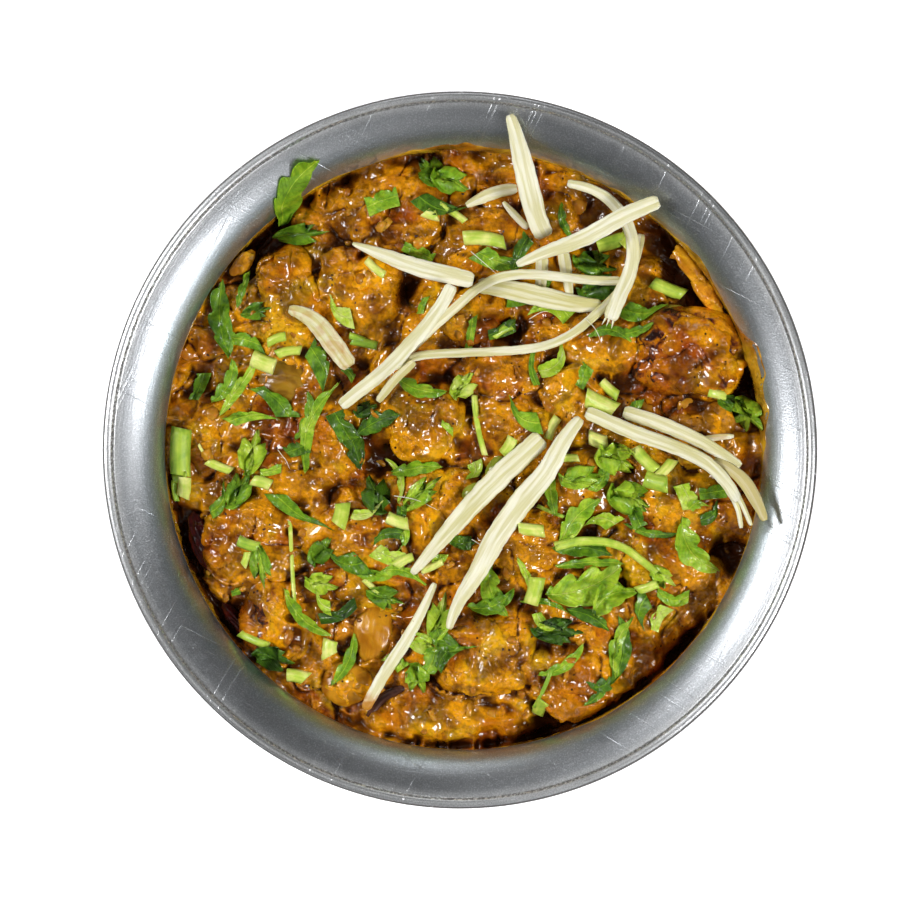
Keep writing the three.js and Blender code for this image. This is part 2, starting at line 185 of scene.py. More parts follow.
def lengths(line: Array) -> Array:
    """How far along a line (n, k) each of its points lies."""
    return np.concatenate([[0], np.cumsum(np.linalg.norm(np.diff(line, axis=0), axis=1))])


@dataclass
class Patch:
    """A closed surface: corners, four and three sided faces, and values at the corners."""

    points: Array
    quads: Array
    tris: Array
    uv: Array
    values: dict[str, Array] = field(default_factory=dict)


def joined(patches: list[Patch]) -> Patch:
    """Puts closed surfaces together as one; they keep their own faces and values."""
    starts = np.cumsum([0] + [len(patch.points) for patch in patches[:-1]])
    names = patches[0].values
    return Patch(
        np.concatenate([patch.points for patch in patches]),
        np.concatenate([patch.quads + start for patch, start in zip(patches, starts)]),
        np.concatenate([patch.tris + start for patch, start in zip(patches, starts)]),
        np.concatenate([patch.uv for patch in patches]),
        {name: np.concatenate([patch.values[name] for patch in patches]) for name in names},
    )


def lofted(
    rings: Array, ends: tuple[Array, Array] | None = None, uv: Array | None = None
) -> Patch:
    """Closes a run of rings into a body, with a fan of triangles at each end.

    Args:
        rings: points (stations, round, 3), counter-clockwise seen from the last ring.
        ends: the middle points of the first and the last fan, if not their rings' means.
        uv: places (stations, round, 2) for patterns, if the piece has any.

    Returns:
        The closed surface, facing outwards, with its two end points last.
    """
    stations, size = rings.shape[:2]
    index = np.arange(stations * size).reshape(stations, size)
    beside = np.roll(index, -1, axis=1)
    quads = stacked(index[:-1], beside[:-1], beside[1:], index[1:]).reshape(-1, 4)
    last = stations * size
    fans = (stacked(last, beside[0], index[0]), stacked(last + 1, index[-1], beside[-1]))
    if uv is None:
        uv = np.zeros((stations, size, 2))
    tips = np.stack([uv[0].mean(axis=0), uv[-1].mean(axis=0)])
    if ends is None:
        ends = (rings[0].mean(axis=0), rings[-1].mean(axis=0))
    points = np.concatenate([rings.reshape(-1, 3), np.stack(ends)])
    return Patch(points, quads, np.concatenate(fans), np.concatenate([uv.reshape(-1, 2), tips]))


def put(name: str, data: bpy.types.ID) -> bpy.types.Object:
    """Adds an object with the given data to the scene."""
    made = bpy.data.objects.new(name, data)
    bpy.context.scene.collection.objects.link(made)
    return made


def make_piece(
    name: str, patch: Patch, material: bpy.types.Material, slot: str, *nodes: str
) -> None:
    """Puts a closed surface into the dish, in metres and with its place in its mesh.

    Args:
        name: of the object and its mesh.
        patch: the surface, with any values as corner attributes.
        material: its finish.
        slot: its material slot; not used.
        nodes: the solids that it stands for.
    """
    mesh = bpy.data.meshes.new(name)
    corners = np.concatenate([patch.quads.ravel(), patch.tris.ravel()]).astype(np.int32)
    fours, threes = len(patch.quads), len(patch.tris)
    starts = np.concatenate([4 * np.arange(fours), 4 * fours + 3 * np.arange(threes)])
    mesh.vertices.add(len(patch.points))
    mesh.vertices.foreach_set("co", (patch.points * MM).astype(np.float32).ravel())
    mesh.loops.add(len(corners))
    mesh.loops.foreach_set("vertex_index", corners)
    mesh.polygons.add(fours + threes)
    mesh.polygons.foreach_set("loop_start", starts.astype(np.int32))
    mesh.polygons.foreach_set("use_smooth", np.ones(fours + threes, dtype=bool))
    runs = mesh.uv_layers.new(name="run")
    runs.data.foreach_set("uv", patch.uv[corners].astype(np.float32).ravel())
    for key, value in patch.values.items():
        held = mesh.attributes.new(key, "FLOAT", "POINT")
        held.data.foreach_set("value", np.asarray(value, dtype=np.float32))
    mesh.update(calc_edges=True)
    mesh.validate()
    mesh.materials.append(material)
    piece = put(name, mesh)
    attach(piece, BODY)
    if nodes:
        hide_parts(*nodes)
    LOG.info("%s: %d faces", name, fours + threes)


# ---- The bowl's form ----


@dataclass(frozen=True)
class BowlForm:
    """Sizes of the spun pot: flat base, gentle belly, neck and trumpet flare."""

    rim_radius: float = 80.0
    height: float = 64.0
    wall: float = 1.2
    floor: float = 1.4
    base_radius: float = 40.0
    belly_radius: float = 69.4
    belly_height: float = 34.0
    neck_radius: float = 67.6
    neck_height: float = 53.0
    bead_radius: float = 1.15
    flare_drop: float = 1.3
    flare_sweep: float = 0.4 * math.pi
    fine: int = 40  # parts of each arc where the wall is measured

    def inside(self, steps: int) -> Array:
        """Inner profile: a quarter ellipse, a straight neck and an arc flared outwards.

        Args:
            steps: parts into which each arc is cut.

        Returns:
            Points (n, 2) of radius and height from the floor's edge up to the lip.
        """
        turn = np.linspace(0, 0.5 * math.pi, steps + 1)
        belly = stacked(
            self.base_radius + (self.belly_radius - self.base_radius) * np.sin(turn),
            self.belly_height - (self.belly_height - self.floor) * np.cos(turn),
        )
        lip = self.rim_radius - 2 * self.bead_radius
        reach = (lip - self.neck_radius) / (1 - math.cos(self.flare_sweep))
        rise = (self.height - self.flare_drop - self.neck_height) / math.sin(self.flare_sweep)
        sweep = np.linspace(0, self.flare_sweep, steps + 1)
        flare = stacked(
            self.neck_radius + reach * (1 - np.cos(sweep)), self.neck_height + rise * np.sin(sweep)
        )
        share = np.linspace(0, 1, 8)[1:-1, None]
        neck = belly[-1] * (1 - share) + flare[0] * share
        return np.concatenate([belly, neck, flare])

    def section(self, steps: int) -> Array:
        """The whole wall: base, outside, rolled bead, then the inside back to the floor."""
        inside = self.inside(steps)
        run = headings(inside)
        outside = inside + self.wall * stacked(run[:, 1], -run[:, 0])
        turn = np.linspace(-0.5 * math.pi, math.pi, 24)
        bead = stacked(
            self.rim_radius + self.bead_radius * (np.cos(turn) - 1),
            self.height + self.bead_radius * (np.sin(turn) - 1),
        )
        out = self.base_radius + self.wall
        share = np.linspace(0.1, 1, 10)[:, None]
        base = np.concatenate([np.array([[out, 0.0]]) * share, outside[outside[:, 0] > out][:-1]])
        floor = np.array([[self.base_radius, self.floor]]) * np.linspace(0.9, 0.1, 9)[:, None]
        floor[:, 1] = self.floor
        return np.concatenate([base, bead, inside[::-1], floor])

    @staticmethod
    def inner_rings(steps: int) -> int:
        """How many of the section's last points lie on the inside and the floor."""
        return 2 * steps + 17

    def radius_at(self, height: Array) -> Array:
        """Inner radius of the wall at heights above the base."""
        inside = self.inside(self.fine)
        return np.interp(height, inside[:, 1], inside[:, 0])

    def height_at(self, radius: Array) -> Array:
        """Height of the flare's upper side at radii past the neck, and 0 inside it."""
        inside = self.inside(self.fine)
        flare = inside[inside[:, 1] >= self.neck_height]
        return np.interp(radius, flare[:, 0], flare[:, 1], left=0.0)


POT = BowlForm()


# ---- The food's form ----


@dataclass(frozen=True)
class Lump:
    """A rounded block of food: its middle, half sizes and turn, as in the solids."""

    at: tuple[float, float, float]
    half: tuple[float, float, float]
    turn: float
    block: float
    rough: float
    seed: int

    def skin(self, d: Array) -> Array:
        """One plus low waves over the skin, for directions from the middle."""
        return 1 + self.rough * waves(3 * d[..., 0], 3 * d[..., 1], 3 * d[..., 2], self.seed)

    def local(self, x: Array, y: Array) -> tuple[Array, Array]:
        """Places seen from above, turned to the lump and in units of its half sizes."""
        u, v = turned(x - self.at[0], y - self.at[1], -self.turn)
        return u / self.half[0], v / self.half[1]

    def top(self, x: Array, y: Array) -> Array:
        """Height of the upper skin: |u|^b + |v|^b + |w|^b = skin^b, solved for w in turns.

        Args:
            x, y: places in millimetres.

        Returns:
            Heights, and 0 where the lump isn't.
        """
        u, v = self.local(x, y)
        flat = np.abs(u) ** self.block + np.abs(v) ** self.block
        w = np.clip(1 - flat, 0, 1) ** (1 / self.block)
        for _ in range(4):
            d = stacked(u, v, w)
            d /= np.linalg.norm(d, axis=-1, keepdims=True) + 1e-9
            room = self.skin(d) ** self.block - flat
            w = np.clip(room, 0, None) ** (1 / self.block)
        return np.where(room > 0, self.at[2] + self.half[2] * w, 0.0)

    def rings(self, sides: int, rows: int) -> Array:
        """The skin on a grid of turns and tilts, d * skin * (sum |d|^b)^(-1/b) * half.

        Args:
            sides: points round each ring.
            rows: rings between the poles.

        Returns:
            Points (rows + 2, sides, 3); the first and last rings are the poles.
        """
        tilt = np.linspace(math.pi, 0, rows + 2)[:, None]
        d = around(np.sin(tilt), full_turn(sides), np.cos(tilt))
        size = self.skin(d) * np.sum(np.abs(d) ** self.block, axis=-1) ** (-1 / self.block)
        p = d * size[..., None] * np.array(self.half)
        x, y = turned(p[..., 0], p[..., 1], self.turn)
        return stacked(x, y, p[..., 2]) + np.array(self.at)


def lumps_of(rows: list[tuple[float, ...]], block: float, rough: float, seed: int) -> list[Lump]:
    """Reads lumps from rows of middle, half sizes and turn; seeds count up from the given one."""
    return [
        Lump(row[0:3], row[3:6], row[6], block, rough, seed + i) for i, row in enumerate(rows)
    ]


# Each lump: x, y and z of its middle, its three half sizes, and its turn in degrees.
MUTTON = lumps_of(
    [
        (-15, 53, 48.6, 11, 9, 7.2, 12), (-23, 37, 48.8, 10.5, 8.6, 7, -15),
        (-39, 36.5, 47.8, 7, 9.5, 6.8, 20), (2.5, 46, 47.4, 9, 6.2, 6, 8),
        (4, 30.5, 47.8, 8.8, 6, 6, 24), (-9.5, 31.5, 46.4, 4.6, 7.2, 6, -8),
        (51.5, 21, 49.2, 12.5, 9.4, 7.5, -18), (56.5, 3.5, 48, 8, 8, 6.5, 10),
        (32, 23, 47.8, 8.6, 6, 5.8, -10), (7.5, 17.5, 47.4, 10.4, 5, 6, 4),
        (11.5, 5.5, 47.8, 9, 7.2, 6, -20), (25, 12, 47.4, 7, 7, 5.8, 30),
        (-8, 7, 48.2, 7.8, 9.6, 6.6, 6), (-5, -11, 47.4, 8, 7.4, 6, -25),
        (-31, 4.5, 47.4, 5.8, 9.4, 6, -12), (-26, -18, 47.9, 10, 6.8, 6.2, 18),
        (-49.5, -21, 48.2, 10, 9.6, 6.6, 10), (-42, -39, 47.9, 9, 8.6, 6.6, -30),
        (4, -46.5, 48.8, 13, 9.4, 7, 8), (-2, -60, 47.2, 10, 5, 5.6, 2),
        (25.5, -52, 48, 9.8, 7.8, 6.6, 20), (30, -36, 47.9, 9, 7.2, 6.2, -14),
        (45.5, -26, 47.4, 9.4, 6.2, 5.8, 16), (48.5, -11.5, 48, 8.4, 6.8, 6, -8),
        (14.5, -21.5, 47.5, 8.4, 7.2, 6, 28), (26.5, -8.5, 47.2, 8, 5.4, 5.6, -22),
        (-41, -6.5, 47.2, 8.4, 6.2, 5.8, 14),
    ],
    2.8,
    0.2,
    1,
)
ONION = lumps_of(
    [
        (-40, 15.5, 48.4, 6.6, 5.4, 3, -12),
        (-20, -41.5, 48.6, 5, 6.8, 3.2, -8),
        (-26.5, -53, 48.2, 6, 5.4, 3, 14),
        (42.5, 9.5, 48.2, 5.4, 2.4, 2.4, -30),
    ],
    2.2,
    0.08,
    40,
)
CRUMBS = lumps_of(
    [(-49.4, 42.8, 51, 5, 2, 1.6, 46), (53.6, 38, 51, 9, 2, 2, -56)], 2.4, 0.22, 50
)
CHILLI = lumps_of(
    [(-59.4, -21.4, 48.6, 2.6, 7, 2.4, 21), (-52, -38.5, 48.2, 1.7, 4.6, 1.7, 38)],
    2.2,
    0.16,
    60,
)
# The third number is how far each pod's middle lies over the food's surface.
PODS = lumps_of(
    [(7.7, -3.8, 0.6, 2.9, 1.7, 1.5, 52), (2.6, -9.4, 0.7, 2.6, 1.7, 1.5, 35)], 2, 0.05, 70
)


@dataclass(frozen=True)
class Hollow:
    """A hollow between the pieces, with dark oil standing in it."""

    x: float
    y: float
    reach: float
    depth: float


HOLLOWS = [
    Hollow(*row)
    for row in (
        (33, 53, 8, 4.6), (-42, 46, 7, 4), (50, 41, 5.5, 4), (45, 47, 4, 3.5),
        (56, 34, 4.5, 4), (-12, 36, 4, 3), (12, 28, 4, 3), (63, 14, 4, 3),
        (-17, -3, 5, 3), (61, -24, 5, 3.5), (40, -28, 4, 2.5), (51, -45, 4.2, 2.6),
        (-50, -39, 4, 3), (-3, -50, 5, 2.5), (18, -62, 5, 3), (-60, -20, 6, 3),
        (-60, 14, 5, 2.5), (-40, 15.5, 6.5, 1.3),
    )
]


@dataclass(frozen=True)
class Sauce:
    """The thick masala: a wavy level heaped round the meat, coating it, with oil in its hollows."""

    level: float = 49.6
    relief: float = 1.1
    wave: float = 0.16
    heap: float = 4.2
    heap_reach: float = 1.35
    edge: float = 67.9
    coat: float = 0.4  # how far the meat stands out of the sauce on the whole
    coat_swing: float = 1.3
    dig: float = 1.35  # how much deeper the hollows are than in the solids
    moat: float = 2.1  # how deep the food falls off just inside the wall
    shore: float = 1.35  # where round the wall it doesn't, in radians
    onion_dip: float = 0.7
    chilli_dip: float = 1.8
    pool_drop: float = 3.3  # how far below the level the oil stands

    def base(self, x: Array, y: Array) -> tuple[Array, Array]:
        """Level + ripple + heaps - hollows, less a dip round each onion and chilli.

        Args:
            x, y: places in millimetres.

        Returns:
            The heights and how deep the hollows are there.
        """
        heap, dip = np.zeros(x.shape), np.zeros(x.shape)
        for lump in MUTTON:
            u = (x - lump.at[0]) / lump.half[0]
            v = (y - lump.at[1]) / lump.half[1]
            heap = np.maximum(heap, np.exp(-(u * u + v * v) / self.heap_reach**2))
        for hollow in HOLLOWS:
            away = ((x - hollow.x) ** 2 + (y - hollow.y) ** 2) / hollow.reach**2
            dip = dip + self.dig * hollow.depth * np.exp(-away)
        ripple = waves(self.wave * x, self.wave * y, 0 * x, 3)
        z = self.level + self.relief * ripple + self.heap * heap - dip
        for lumps, drop in ((ONION, self.onion_dip), (CHILLI, self.chilli_dip)):
            for lump in lumps:
                u, v = lump.local(x, y)
                z = z - drop * np.exp(-(u * u + v * v) / 2.4)
        return z, dip

    @staticmethod
    def pulp(points: Array) -> Array:
        """The cooked pulp's relief: clouds, grains, thin ridges and creases added up.

        A ridge is (1 - |c| / 0.4)^2 along the noughts of a cloud c, where that is
        positive; a crease is a smooth groove along the noughts of another.

        Args:
            points: places (..., 3) in millimetres.

        Returns:
            Heights of about -1 to 1.5.
        """
        ridge = np.clip(1 - np.abs(cloud(points, 5.2, 33, 2)) / 0.4, 0, 1) ** 2
        crease = smooth_step(0.14, 0.0, np.abs(cloud(points, 8.5, 31, 2)))
        grains = 0.27 * pebbles(points, 2.4, 11) + 0.12 * pebbles(points, 1.2, 12)
        return 0.8 * cloud(points, 3.2, 5, 3) + grains + 0.85 * ridge - 0.9 * crease

    def surface(self, x: Array, y: Array) -> tuple[Array, Array]:
        """The sauce's top: base and chunk coats joined by smooth maxima, then the pulp.

        Over each lump the sauce follows its skin from below, less a thickness that a
        cloud of 9 mm varies. Where the result is under the level of an oil pool, it is
        the pool. Along the wall a moat exp(-d^2) is taken off, except at the back.

        Args:
            x, y: places in millimetres.

        Returns:
            The heights, and 1 where oil stands down to 0 where it doesn't.
        """
        flat = stacked(x, y, 0)
        z, dip = self.base(x, y)
        z = z + 0.7 * cloud(flat, 7.0, 3, 2) + 0.5 * pebbles(flat, 4.4, 8)
        inset = self.coat + self.coat_swing * cloud(flat, 9.0, 21, 2)
        for lump in MUTTON:
            z = smooth_max(z, lump.top(x, y) - inset, 3.4)
        for onion in ONION:
            z = smooth_max(z, onion.top(x, y) - 1.1 * inset - 1.3, 1.4)
        pulp = self.pulp(flat)
        z = z + pulp
        pool = self.level - self.pool_drop + 0.8 * cloud(flat, 4.0, 41, 2) + 0.3 * pulp
        oil = smooth_step(-0.15, 0.35, pool - z) * smooth_step(0.5, 1.0, dip)
        z = np.where(dip > 0.5, smooth_max(z, pool, 0.4), z)
        radius = np.hypot(x, y)
        turn = np.arctan2(y, x)
        ring = around(30, turn, 0)
        shore = np.exp(-((np.angle(np.exp(1j * (turn - self.shore))) / 0.75) ** 2))
        moat = self.moat * (1 - shore) * np.clip(0.75 + cloud(ring, 13.0, 53, 2), 0, 1.4)
        z = z - moat * np.exp(-(((radius - self.edge + 1.1) / 1.3) ** 2))
        climb = (0.15 + 0.85 * shore) * (1.0 + 0.9 * cloud(ring, 9.0, 51, 3))
        return z + climb * np.exp(np.minimum(radius - self.edge, 0) / 1.1), oil


SAUCE = Sauce()


@dataclass
class Relief:
    """Heights over a square grid: what lies on the food settles on it."""

    reach: float = 80.0
    cell: float = 0.4
    heights: Array = field(default_factory=lambda: np.zeros((1, 1)))

    def places(self) -> tuple[Array, Array]:
        """The x and y of the grid's points, as whole arrays."""
        line = np.arange(-self.reach, self.reach + self.cell / 2, self.cell)
        return np.meshgrid(line, line, indexing="ij")

    def fill(self) -> None:
        """Takes the higher of sauce and lumps at every point."""
        x, y = self.places()
        z, _ = SAUCE.surface(x, y)
        for lump in (*MUTTON, *ONION, *CRUMBS, *CHILLI):
            z = np.maximum(z, lump.top(x, y))
        self.heights = z

    def walled(self) -> None:
        """Puts the bowl's flare in where it stands higher or lies outside the food."""
        x, y = self.places()
        radius = np.hypot(x, y)
        inside = (radius < POT.radius_at(self.heights)) & (radius < POT.neck_radius + 1.5)
        self.heights = np.where(inside, self.heights, POT.height_at(radius))

    def crest(self) -> Relief:
        """The same relief with every point raised to the highest of its eight neighbours."""
        high = self.heights
        for axis in (0, 1):
            high = np.maximum(high, np.maximum(np.roll(high, 1, axis), np.roll(high, -1, axis)))
        return Relief(self.reach, self.cell, high)

    def at(self, x: Array, y: Array) -> Array:
        """Heights between the grid's points, blended over the four nearest."""
        most = len(self.heights) - 2
        i = np.clip((x + self.reach) / self.cell, 0, most + 0.999)
        j = np.clip((y + self.reach) / self.cell, 0, most + 0.999)
        a, b = i.astype(int), j.astype(int)
        s, t, h = i - a, j - b, self.heights
        near = h[a, b] * (1 - t) + h[a, b + 1] * t
        return near * (1 - s) + (h[a + 1, b] * (1 - t) + h[a + 1, b + 1] * t) * s

    def raised(self, points: Array, lowest: bool = False) -> None:
        """Stamps points (..., 3): keeps the highest in each cell, or the lowest."""
        flat = points.reshape(-1, 3)
        cells = np.clip(np.rint((flat[:, :2] + self.reach) / self.cell), 0, len(self.heights) - 1)
        where = tuple(cells.astype(int).T)
        (np.minimum if lowest else np.maximum).at(self.heights, where, flat[:, 2])

    def blurred(self, radius: float) -> Relief:
        """The same relief smoothed by three box means of the given radius."""
        soft = self.heights.copy()
        half = max(1, int(radius / self.cell))
        for axis in (0, 1, 0, 1, 0, 1):
            more = [(half + 1, half) if k == axis else (0, 0) for k in (0, 1)]
            total = np.cumsum(np.pad(soft, more, "edge"), axis=axis)
            size = soft.shape[axis]
            upper = np.take(total, np.arange(size) + 2 * half + 1, axis=axis)
            lower = np.take(total, np.arange(size), axis=axis)
            soft = (upper - lower) / (2 * half + 1)
        return Relief(self.reach, self.cell, soft)


class Ground:
    """What the toppings lie on: the food, its smoothed form, and the ginger's undersides."""

    def __init__(self) -> None:
        """Fills the relief of the food and smooths it."""
        self.food = Relief()
        self.food.fill()
        self.near = self.food.blurred(0.9)
        self.wide = self.food.blurred(3.6)
        self.food.walled()
        self.soft = self.food.blurred(1.0)
        self.crest = self.food.crest()
        self.roof = Relief(heights=np.full(self.food.heights.shape, 1e3))
        self.stack = self.food

    def settled(self) -> None:
        """Takes what has been stamped so far into the smoothed forms and the stack."""
        self.soft = self.food.blurred(1.0)
        self.crest = self.food.crest()
        self.stack = Relief(heights=self.food.heights.copy())

    def depth(self, points: Array) -> Array:
        """How deep points lie: in the hollows between pieces, or in the pits of the pulp; the
        finishes paint shade by it.
        """
        x, y, z = points[..., 0], points[..., 1], points[..., 2]
        hollow = smooth_step(-0.6, 2.6, self.wide.at(x, y) - z)
        pit = 0.6 * smooth_step(0.0, 0.9, self.near.at(x, y) - z)
        return np.maximum(hollow, pit)


# ---- Finishes ----


class Value:
    """What a socket gives, with the signs + - and * between it and numbers or other values."""

    def __init__(self, tree: Tree, socket: bpy.types.NodeSocket) -> None:
        """Keeps the socket and the tree that it is in."""
        self.tree, self.socket = tree, socket

    def __add__(self, other: Value | float) -> Value:
        """The sum."""
        return self.tree.maths("ADD", self, other)

    def __radd__(self, other: float) -> Value:
        """The sum, with the number first."""
        return self.tree.maths("ADD", other, self)

    def __sub__(self, other: Value | float) -> Value:
        """The difference."""
        return self.tree.maths("SUBTRACT", self, other)

    def __rsub__(self, other: float) -> Value:
        """A number less the value."""
        return self.tree.maths("SUBTRACT", other, self)

    def __mul__(self, other: Value | float) -> Value:
        """The product."""
        return self.tree.maths("MULTIPLY", self, other)

    def __abs__(self) -> Value:
        """The value without its sign."""
        return self.tree.maths("ABSOLUTE", self)


class Tree:
    """Adds nodes to the tree of a material or a node group and joins them."""

    def __init__(self, tree: bpy.types.NodeTree) -> None:
        """Keeps the tree to work on."""
        self.tree = tree

    def add(self, kind: str, inputs: dict | None = None, **settings: object) -> bpy.types.Node:
        """Adds one node.

        Args:
            kind: the node's type without its "ShaderNode" start.
            inputs: input name or number to what it is set to or fed from.
            settings: the node's own properties.

        Returns:
            The new node.
        """
        node = self.tree.nodes.new("ShaderNode" + kind)
        for key, value in settings.items():
            setattr(node, key, value)
        for key, value in (inputs or {}).items():
            if isinstance(value, Value):
                self.tree.links.new(value.socket, node.inputs[key])
            else:
                node.inputs[key].default_value = value
        return node

    def read(self, kind: str, inputs: dict, output: int | str = 0, **settings: object) -> Value:
        """Adds one node and gives one of its outputs."""
        return Value(self, self.add(kind, inputs, **settings).outputs[output])

    def parts(self, vector: Value) -> list[Value]:
        """The three numbers of a vector."""
        return [Value(self, socket) for socket in self.add("SeparateXYZ", {0: vector}).outputs]

    def maths(
        self, operation: str, a: Value | float, b: Value | float = 0.0, clamp: bool = False
    ) -> Value:
        """A sum, product or the like of two values."""
        return self.read("Math", {0: a, 1: b}, operation=operation, use_clamp=clamp)

    def spread(self, value: Value, low: float, high: float, to: tuple = (0.0, 1.0)) -> Value:
        """Maps a value from low..high to the given range as a smooth step."""
        inputs = {0: value, 1: low, 2: high, 3: to[0], 4: to[1]}
        return self.read("MapRange", inputs, interpolation_type="SMOOTHSTEP")

    def mix(self, factor: Value | float, a: Value | Colour, b: Value | Colour) -> Value:
        """Two colours mixed by a factor."""
        return self.read("Mix", {0: factor, 6: a, 7: b}, 2, data_type="RGBA")

    def noise(self, place: Value, scale: float, detail: float = 3.0, warp: float = 0.0) -> Value:
        """Noise with features of 1 / scale metres."""
        inputs = {"Vector": place, "Scale": scale, "Detail": detail, "Distortion": warp}
        return self.read("TexNoise", inputs)

    def feed(self, node: bpy.types.Node, **values: Value) -> None:
        """Joins values to a node's inputs, whose names have underscores for spaces."""
        for name, value in values.items():
            self.tree.links.new(value.socket, node.inputs[name.replace("_", " ")])

    def place(self) -> Value:
        """Object coordinates, which are the dish's own metres."""
        return self.read("TexCoord", {}, "Object")

    def run(self) -> list[Value]:
        """How far along and across the piece a place lies, in millimetres."""
        return self.parts(self.read("UVMap", {}, uv_map="run"))

    def kept(self, name: str) -> Value:
        """A value kept at the piece's corners."""
        return self.read("Attribute", {}, "Fac", attribute_name=name)

    def ramp(self, value: Value, stops: tuple[tuple[float, Colour], ...]) -> Value:
        """A colour read from a run of stops."""
        made = self.add("ValToRGB", {0: value})
        run = made.color_ramp.elements
        while len(run) < len(stops):
            run.new(1.0)
        for element, (at, colour) in zip(run, stops):
            element.position, element.color = at, colour
        return Value(self, made.outputs[0])

    def bump(self, height: Value, distance: float) -> Value:
        """The normal of a relief of the given depth in metres."""
        return self.read("Bump", {"Height": height, "Distance": distance})


def rgb(red: float, green: float, blue: float) -> Colour:
    """A linear colour with full cover."""
    return (red, green, blue, 1.0)


class Effect(Enum):
    """The effects that more than one finish uses, by the names of their node groups."""

    MOTTLE = "masala_mottle"
    WET = "wet_relief"
    FIBRE = "plant_fibre"


class EffectShop:
    """Builds each shared effect once, as a node group with named inputs and outputs."""

    def __init__(self) -> None:
        """Builds every effect."""
        self.groups = {
            Effect.MOTTLE: self.mottle(),
            Effect.WET: self.wet(),
            Effect.FIBRE: self.fibre(),
        }

    @staticmethod
    def start(effect: Effect, ins: dict[str, object], outs: dict[str, str]) -> tuple:
        """Makes a group with its sockets.

        Args:
            effect: which one.
            ins: input name to its default value; a tuple is a colour.
            outs: output name to its socket type.

        Returns:
            The group, a Tree on it, its inputs' values by name and its output node.
        """
        group = bpy.data.node_groups.new(effect.value, "ShaderNodeTree")
        for name, value in ins.items():
            kind = "NodeSocketColor" if isinstance(value, tuple) else "NodeSocketFloat"
            made = group.interface.new_socket(name, in_out="INPUT", socket_type=kind)
            made.default_value = value
        for name, kind in outs.items():
            group.interface.new_socket(name, in_out="OUTPUT", socket_type=kind)
        tree = Tree(group)
        entry = group.nodes.new("NodeGroupInput")
        given = {socket.name: Value(tree, socket) for socket in entry.outputs}
        return group, tree, given, group.nodes.new("NodeGroupOutput")

    def mottle(self) -> bpy.types.NodeTree:
        """Cooked masala's colour: patches of 9 mm, flecks of 2 mm, painted shade in the crevices,
        red oil.
        """
        ins = {
            "Dark": rgb(0.1, 0.02, 0.004),
            "Middle": rgb(0.4, 0.12, 0.008),
            "Bright": rgb(0.7, 0.25, 0.012),
            "Deep": 0.0,
            "Lift": 0.0,
            "Red": 0.0,
        }
        outs = {"Colour": "NodeSocketColor", "Roughness": "NodeSocketFloat"}
        group, tree, given, out = self.start(Effect.MOTTLE, ins, outs)
        place = tree.place()
        broad = tree.noise(place, 110.0, 5.0, 0.4)
        fine = tree.noise(place, 600.0, 4.0)
        # painted shade: the Deep input pulls the tone down towards the darker colours
        value = broad * 1.1 + given["Lift"] + fine * 0.3 - given["Deep"] * 0.4
        lit = tree.mix(tree.spread(value, 0.42, 0.76), given["Middle"], given["Bright"])
        gold = tree.spread(tree.noise(place, 105.0, 3.0, 0.6), 0.52, 0.66, (0.0, 0.65))
        lit = tree.mix(gold, lit, rgb(0.76, 0.44, 0.006))
        red = tree.spread(tree.noise(place, 75.0, 3.0, 0.8), 0.48, 0.64)
        red = tree.maths("ADD", red * 0.75, given["Red"], clamp=True)
        lit = tree.mix(red, lit, tree.mix(0.75, lit, rgb(0.38, 0.052, 0.0015)))
        shade = tree.spread(tree.noise(place, 130.0, 4.0, 0.8), 0.56, 0.36, (0.0, 0.7))
        lit = tree.mix(shade, lit, given["Dark"])
        specks = tree.read("TexVoronoi", {"Vector": place, "Scale": 520.0})
        grit = tree.spread(tree.noise(place, 1200.0, 2.0), 0.56, 0.36, (0.0, 0.25))
        lit = tree.mix(grit, lit, given["Dark"])
        speck = tree.spread(specks, 0.2, 0.1)
        chosen = tree.spread(tree.noise(place, 330.0, 0.0), 0.6, 0.66)
        lit = tree.mix(speck * chosen, lit, rgb(0.035, 0.012, 0.004))
        # painted shade: where the piece lies deep in hollows and pits its colour goes towards near
        # black
        deep = tree.spread(given["Deep"], 0.2, 0.85)
        colour = tree.mix(deep, lit, tree.mix(0.7, given["Dark"], rgb(0.02, 0.005, 0.001)))
        rough = tree.spread(broad, 0.35, 0.7, (0.1, 0.24))
        tree.feed(out, Colour=colour, Roughness=rough)
        return group

    def wet(self) -> bpy.types.NodeTree:
        """Wet pulp's relief: grains of 1.5 mm and finer pits, stronger in some patches."""
        ins = {"Coarse": 0.5, "Fine": 0.5}
        group, tree, given, out = self.start(Effect.WET, ins, {"Height": "NodeSocketFloat"})
        place = tree.place()
        rough = tree.spread(tree.noise(place, 120.0, 2.0, 0.5), 0.42, 0.62, (0.25, 1.0))
        coarse = tree.noise(place, 480.0, 2.0, 0.6)
        coarse = coarse - tree.read("TexVoronoi", {"Vector": place, "Scale": 850.0}) * 0.3
        fine = tree.noise(place, 1900.0, 2.0)
        tree.feed(out, Height=(coarse * given["Coarse"] + fine * given["Fine"]) * rough)
        return group

    def fibre(self) -> bpy.types.NodeTree:
        """Plant fibres along the run of a piece, from its own UV in millimetres."""
        ins = {"Along": 0.12, "Across": 3.2}
        outs = {"Height": "NodeSocketFloat", "Streak": "NodeSocketFloat"}
        group, tree, given, out = self.start(Effect.FIBRE, ins, outs)
        along, across, _ = tree.run()
        place = tree.read("CombineXYZ", {0: along * given["Along"], 1: across * given["Across"]})
        streak = tree.noise(place, 1.0, 4.0, 0.3)
        broad = tree.noise(place, 0.35, 2.0)
        tree.feed(out, Height=streak, Streak=broad)
        return group

    def used(self, tree: Tree, effect: Effect, **inputs: object) -> dict[str, Value]:
        """Places an effect in a material with the given inputs; gives its outputs by name."""
        node = tree.add("Group", inputs, node_tree=self.groups[effect])
        return {socket.name: Value(tree, socket) for socket in node.outputs}


SHOP = EffectShop()


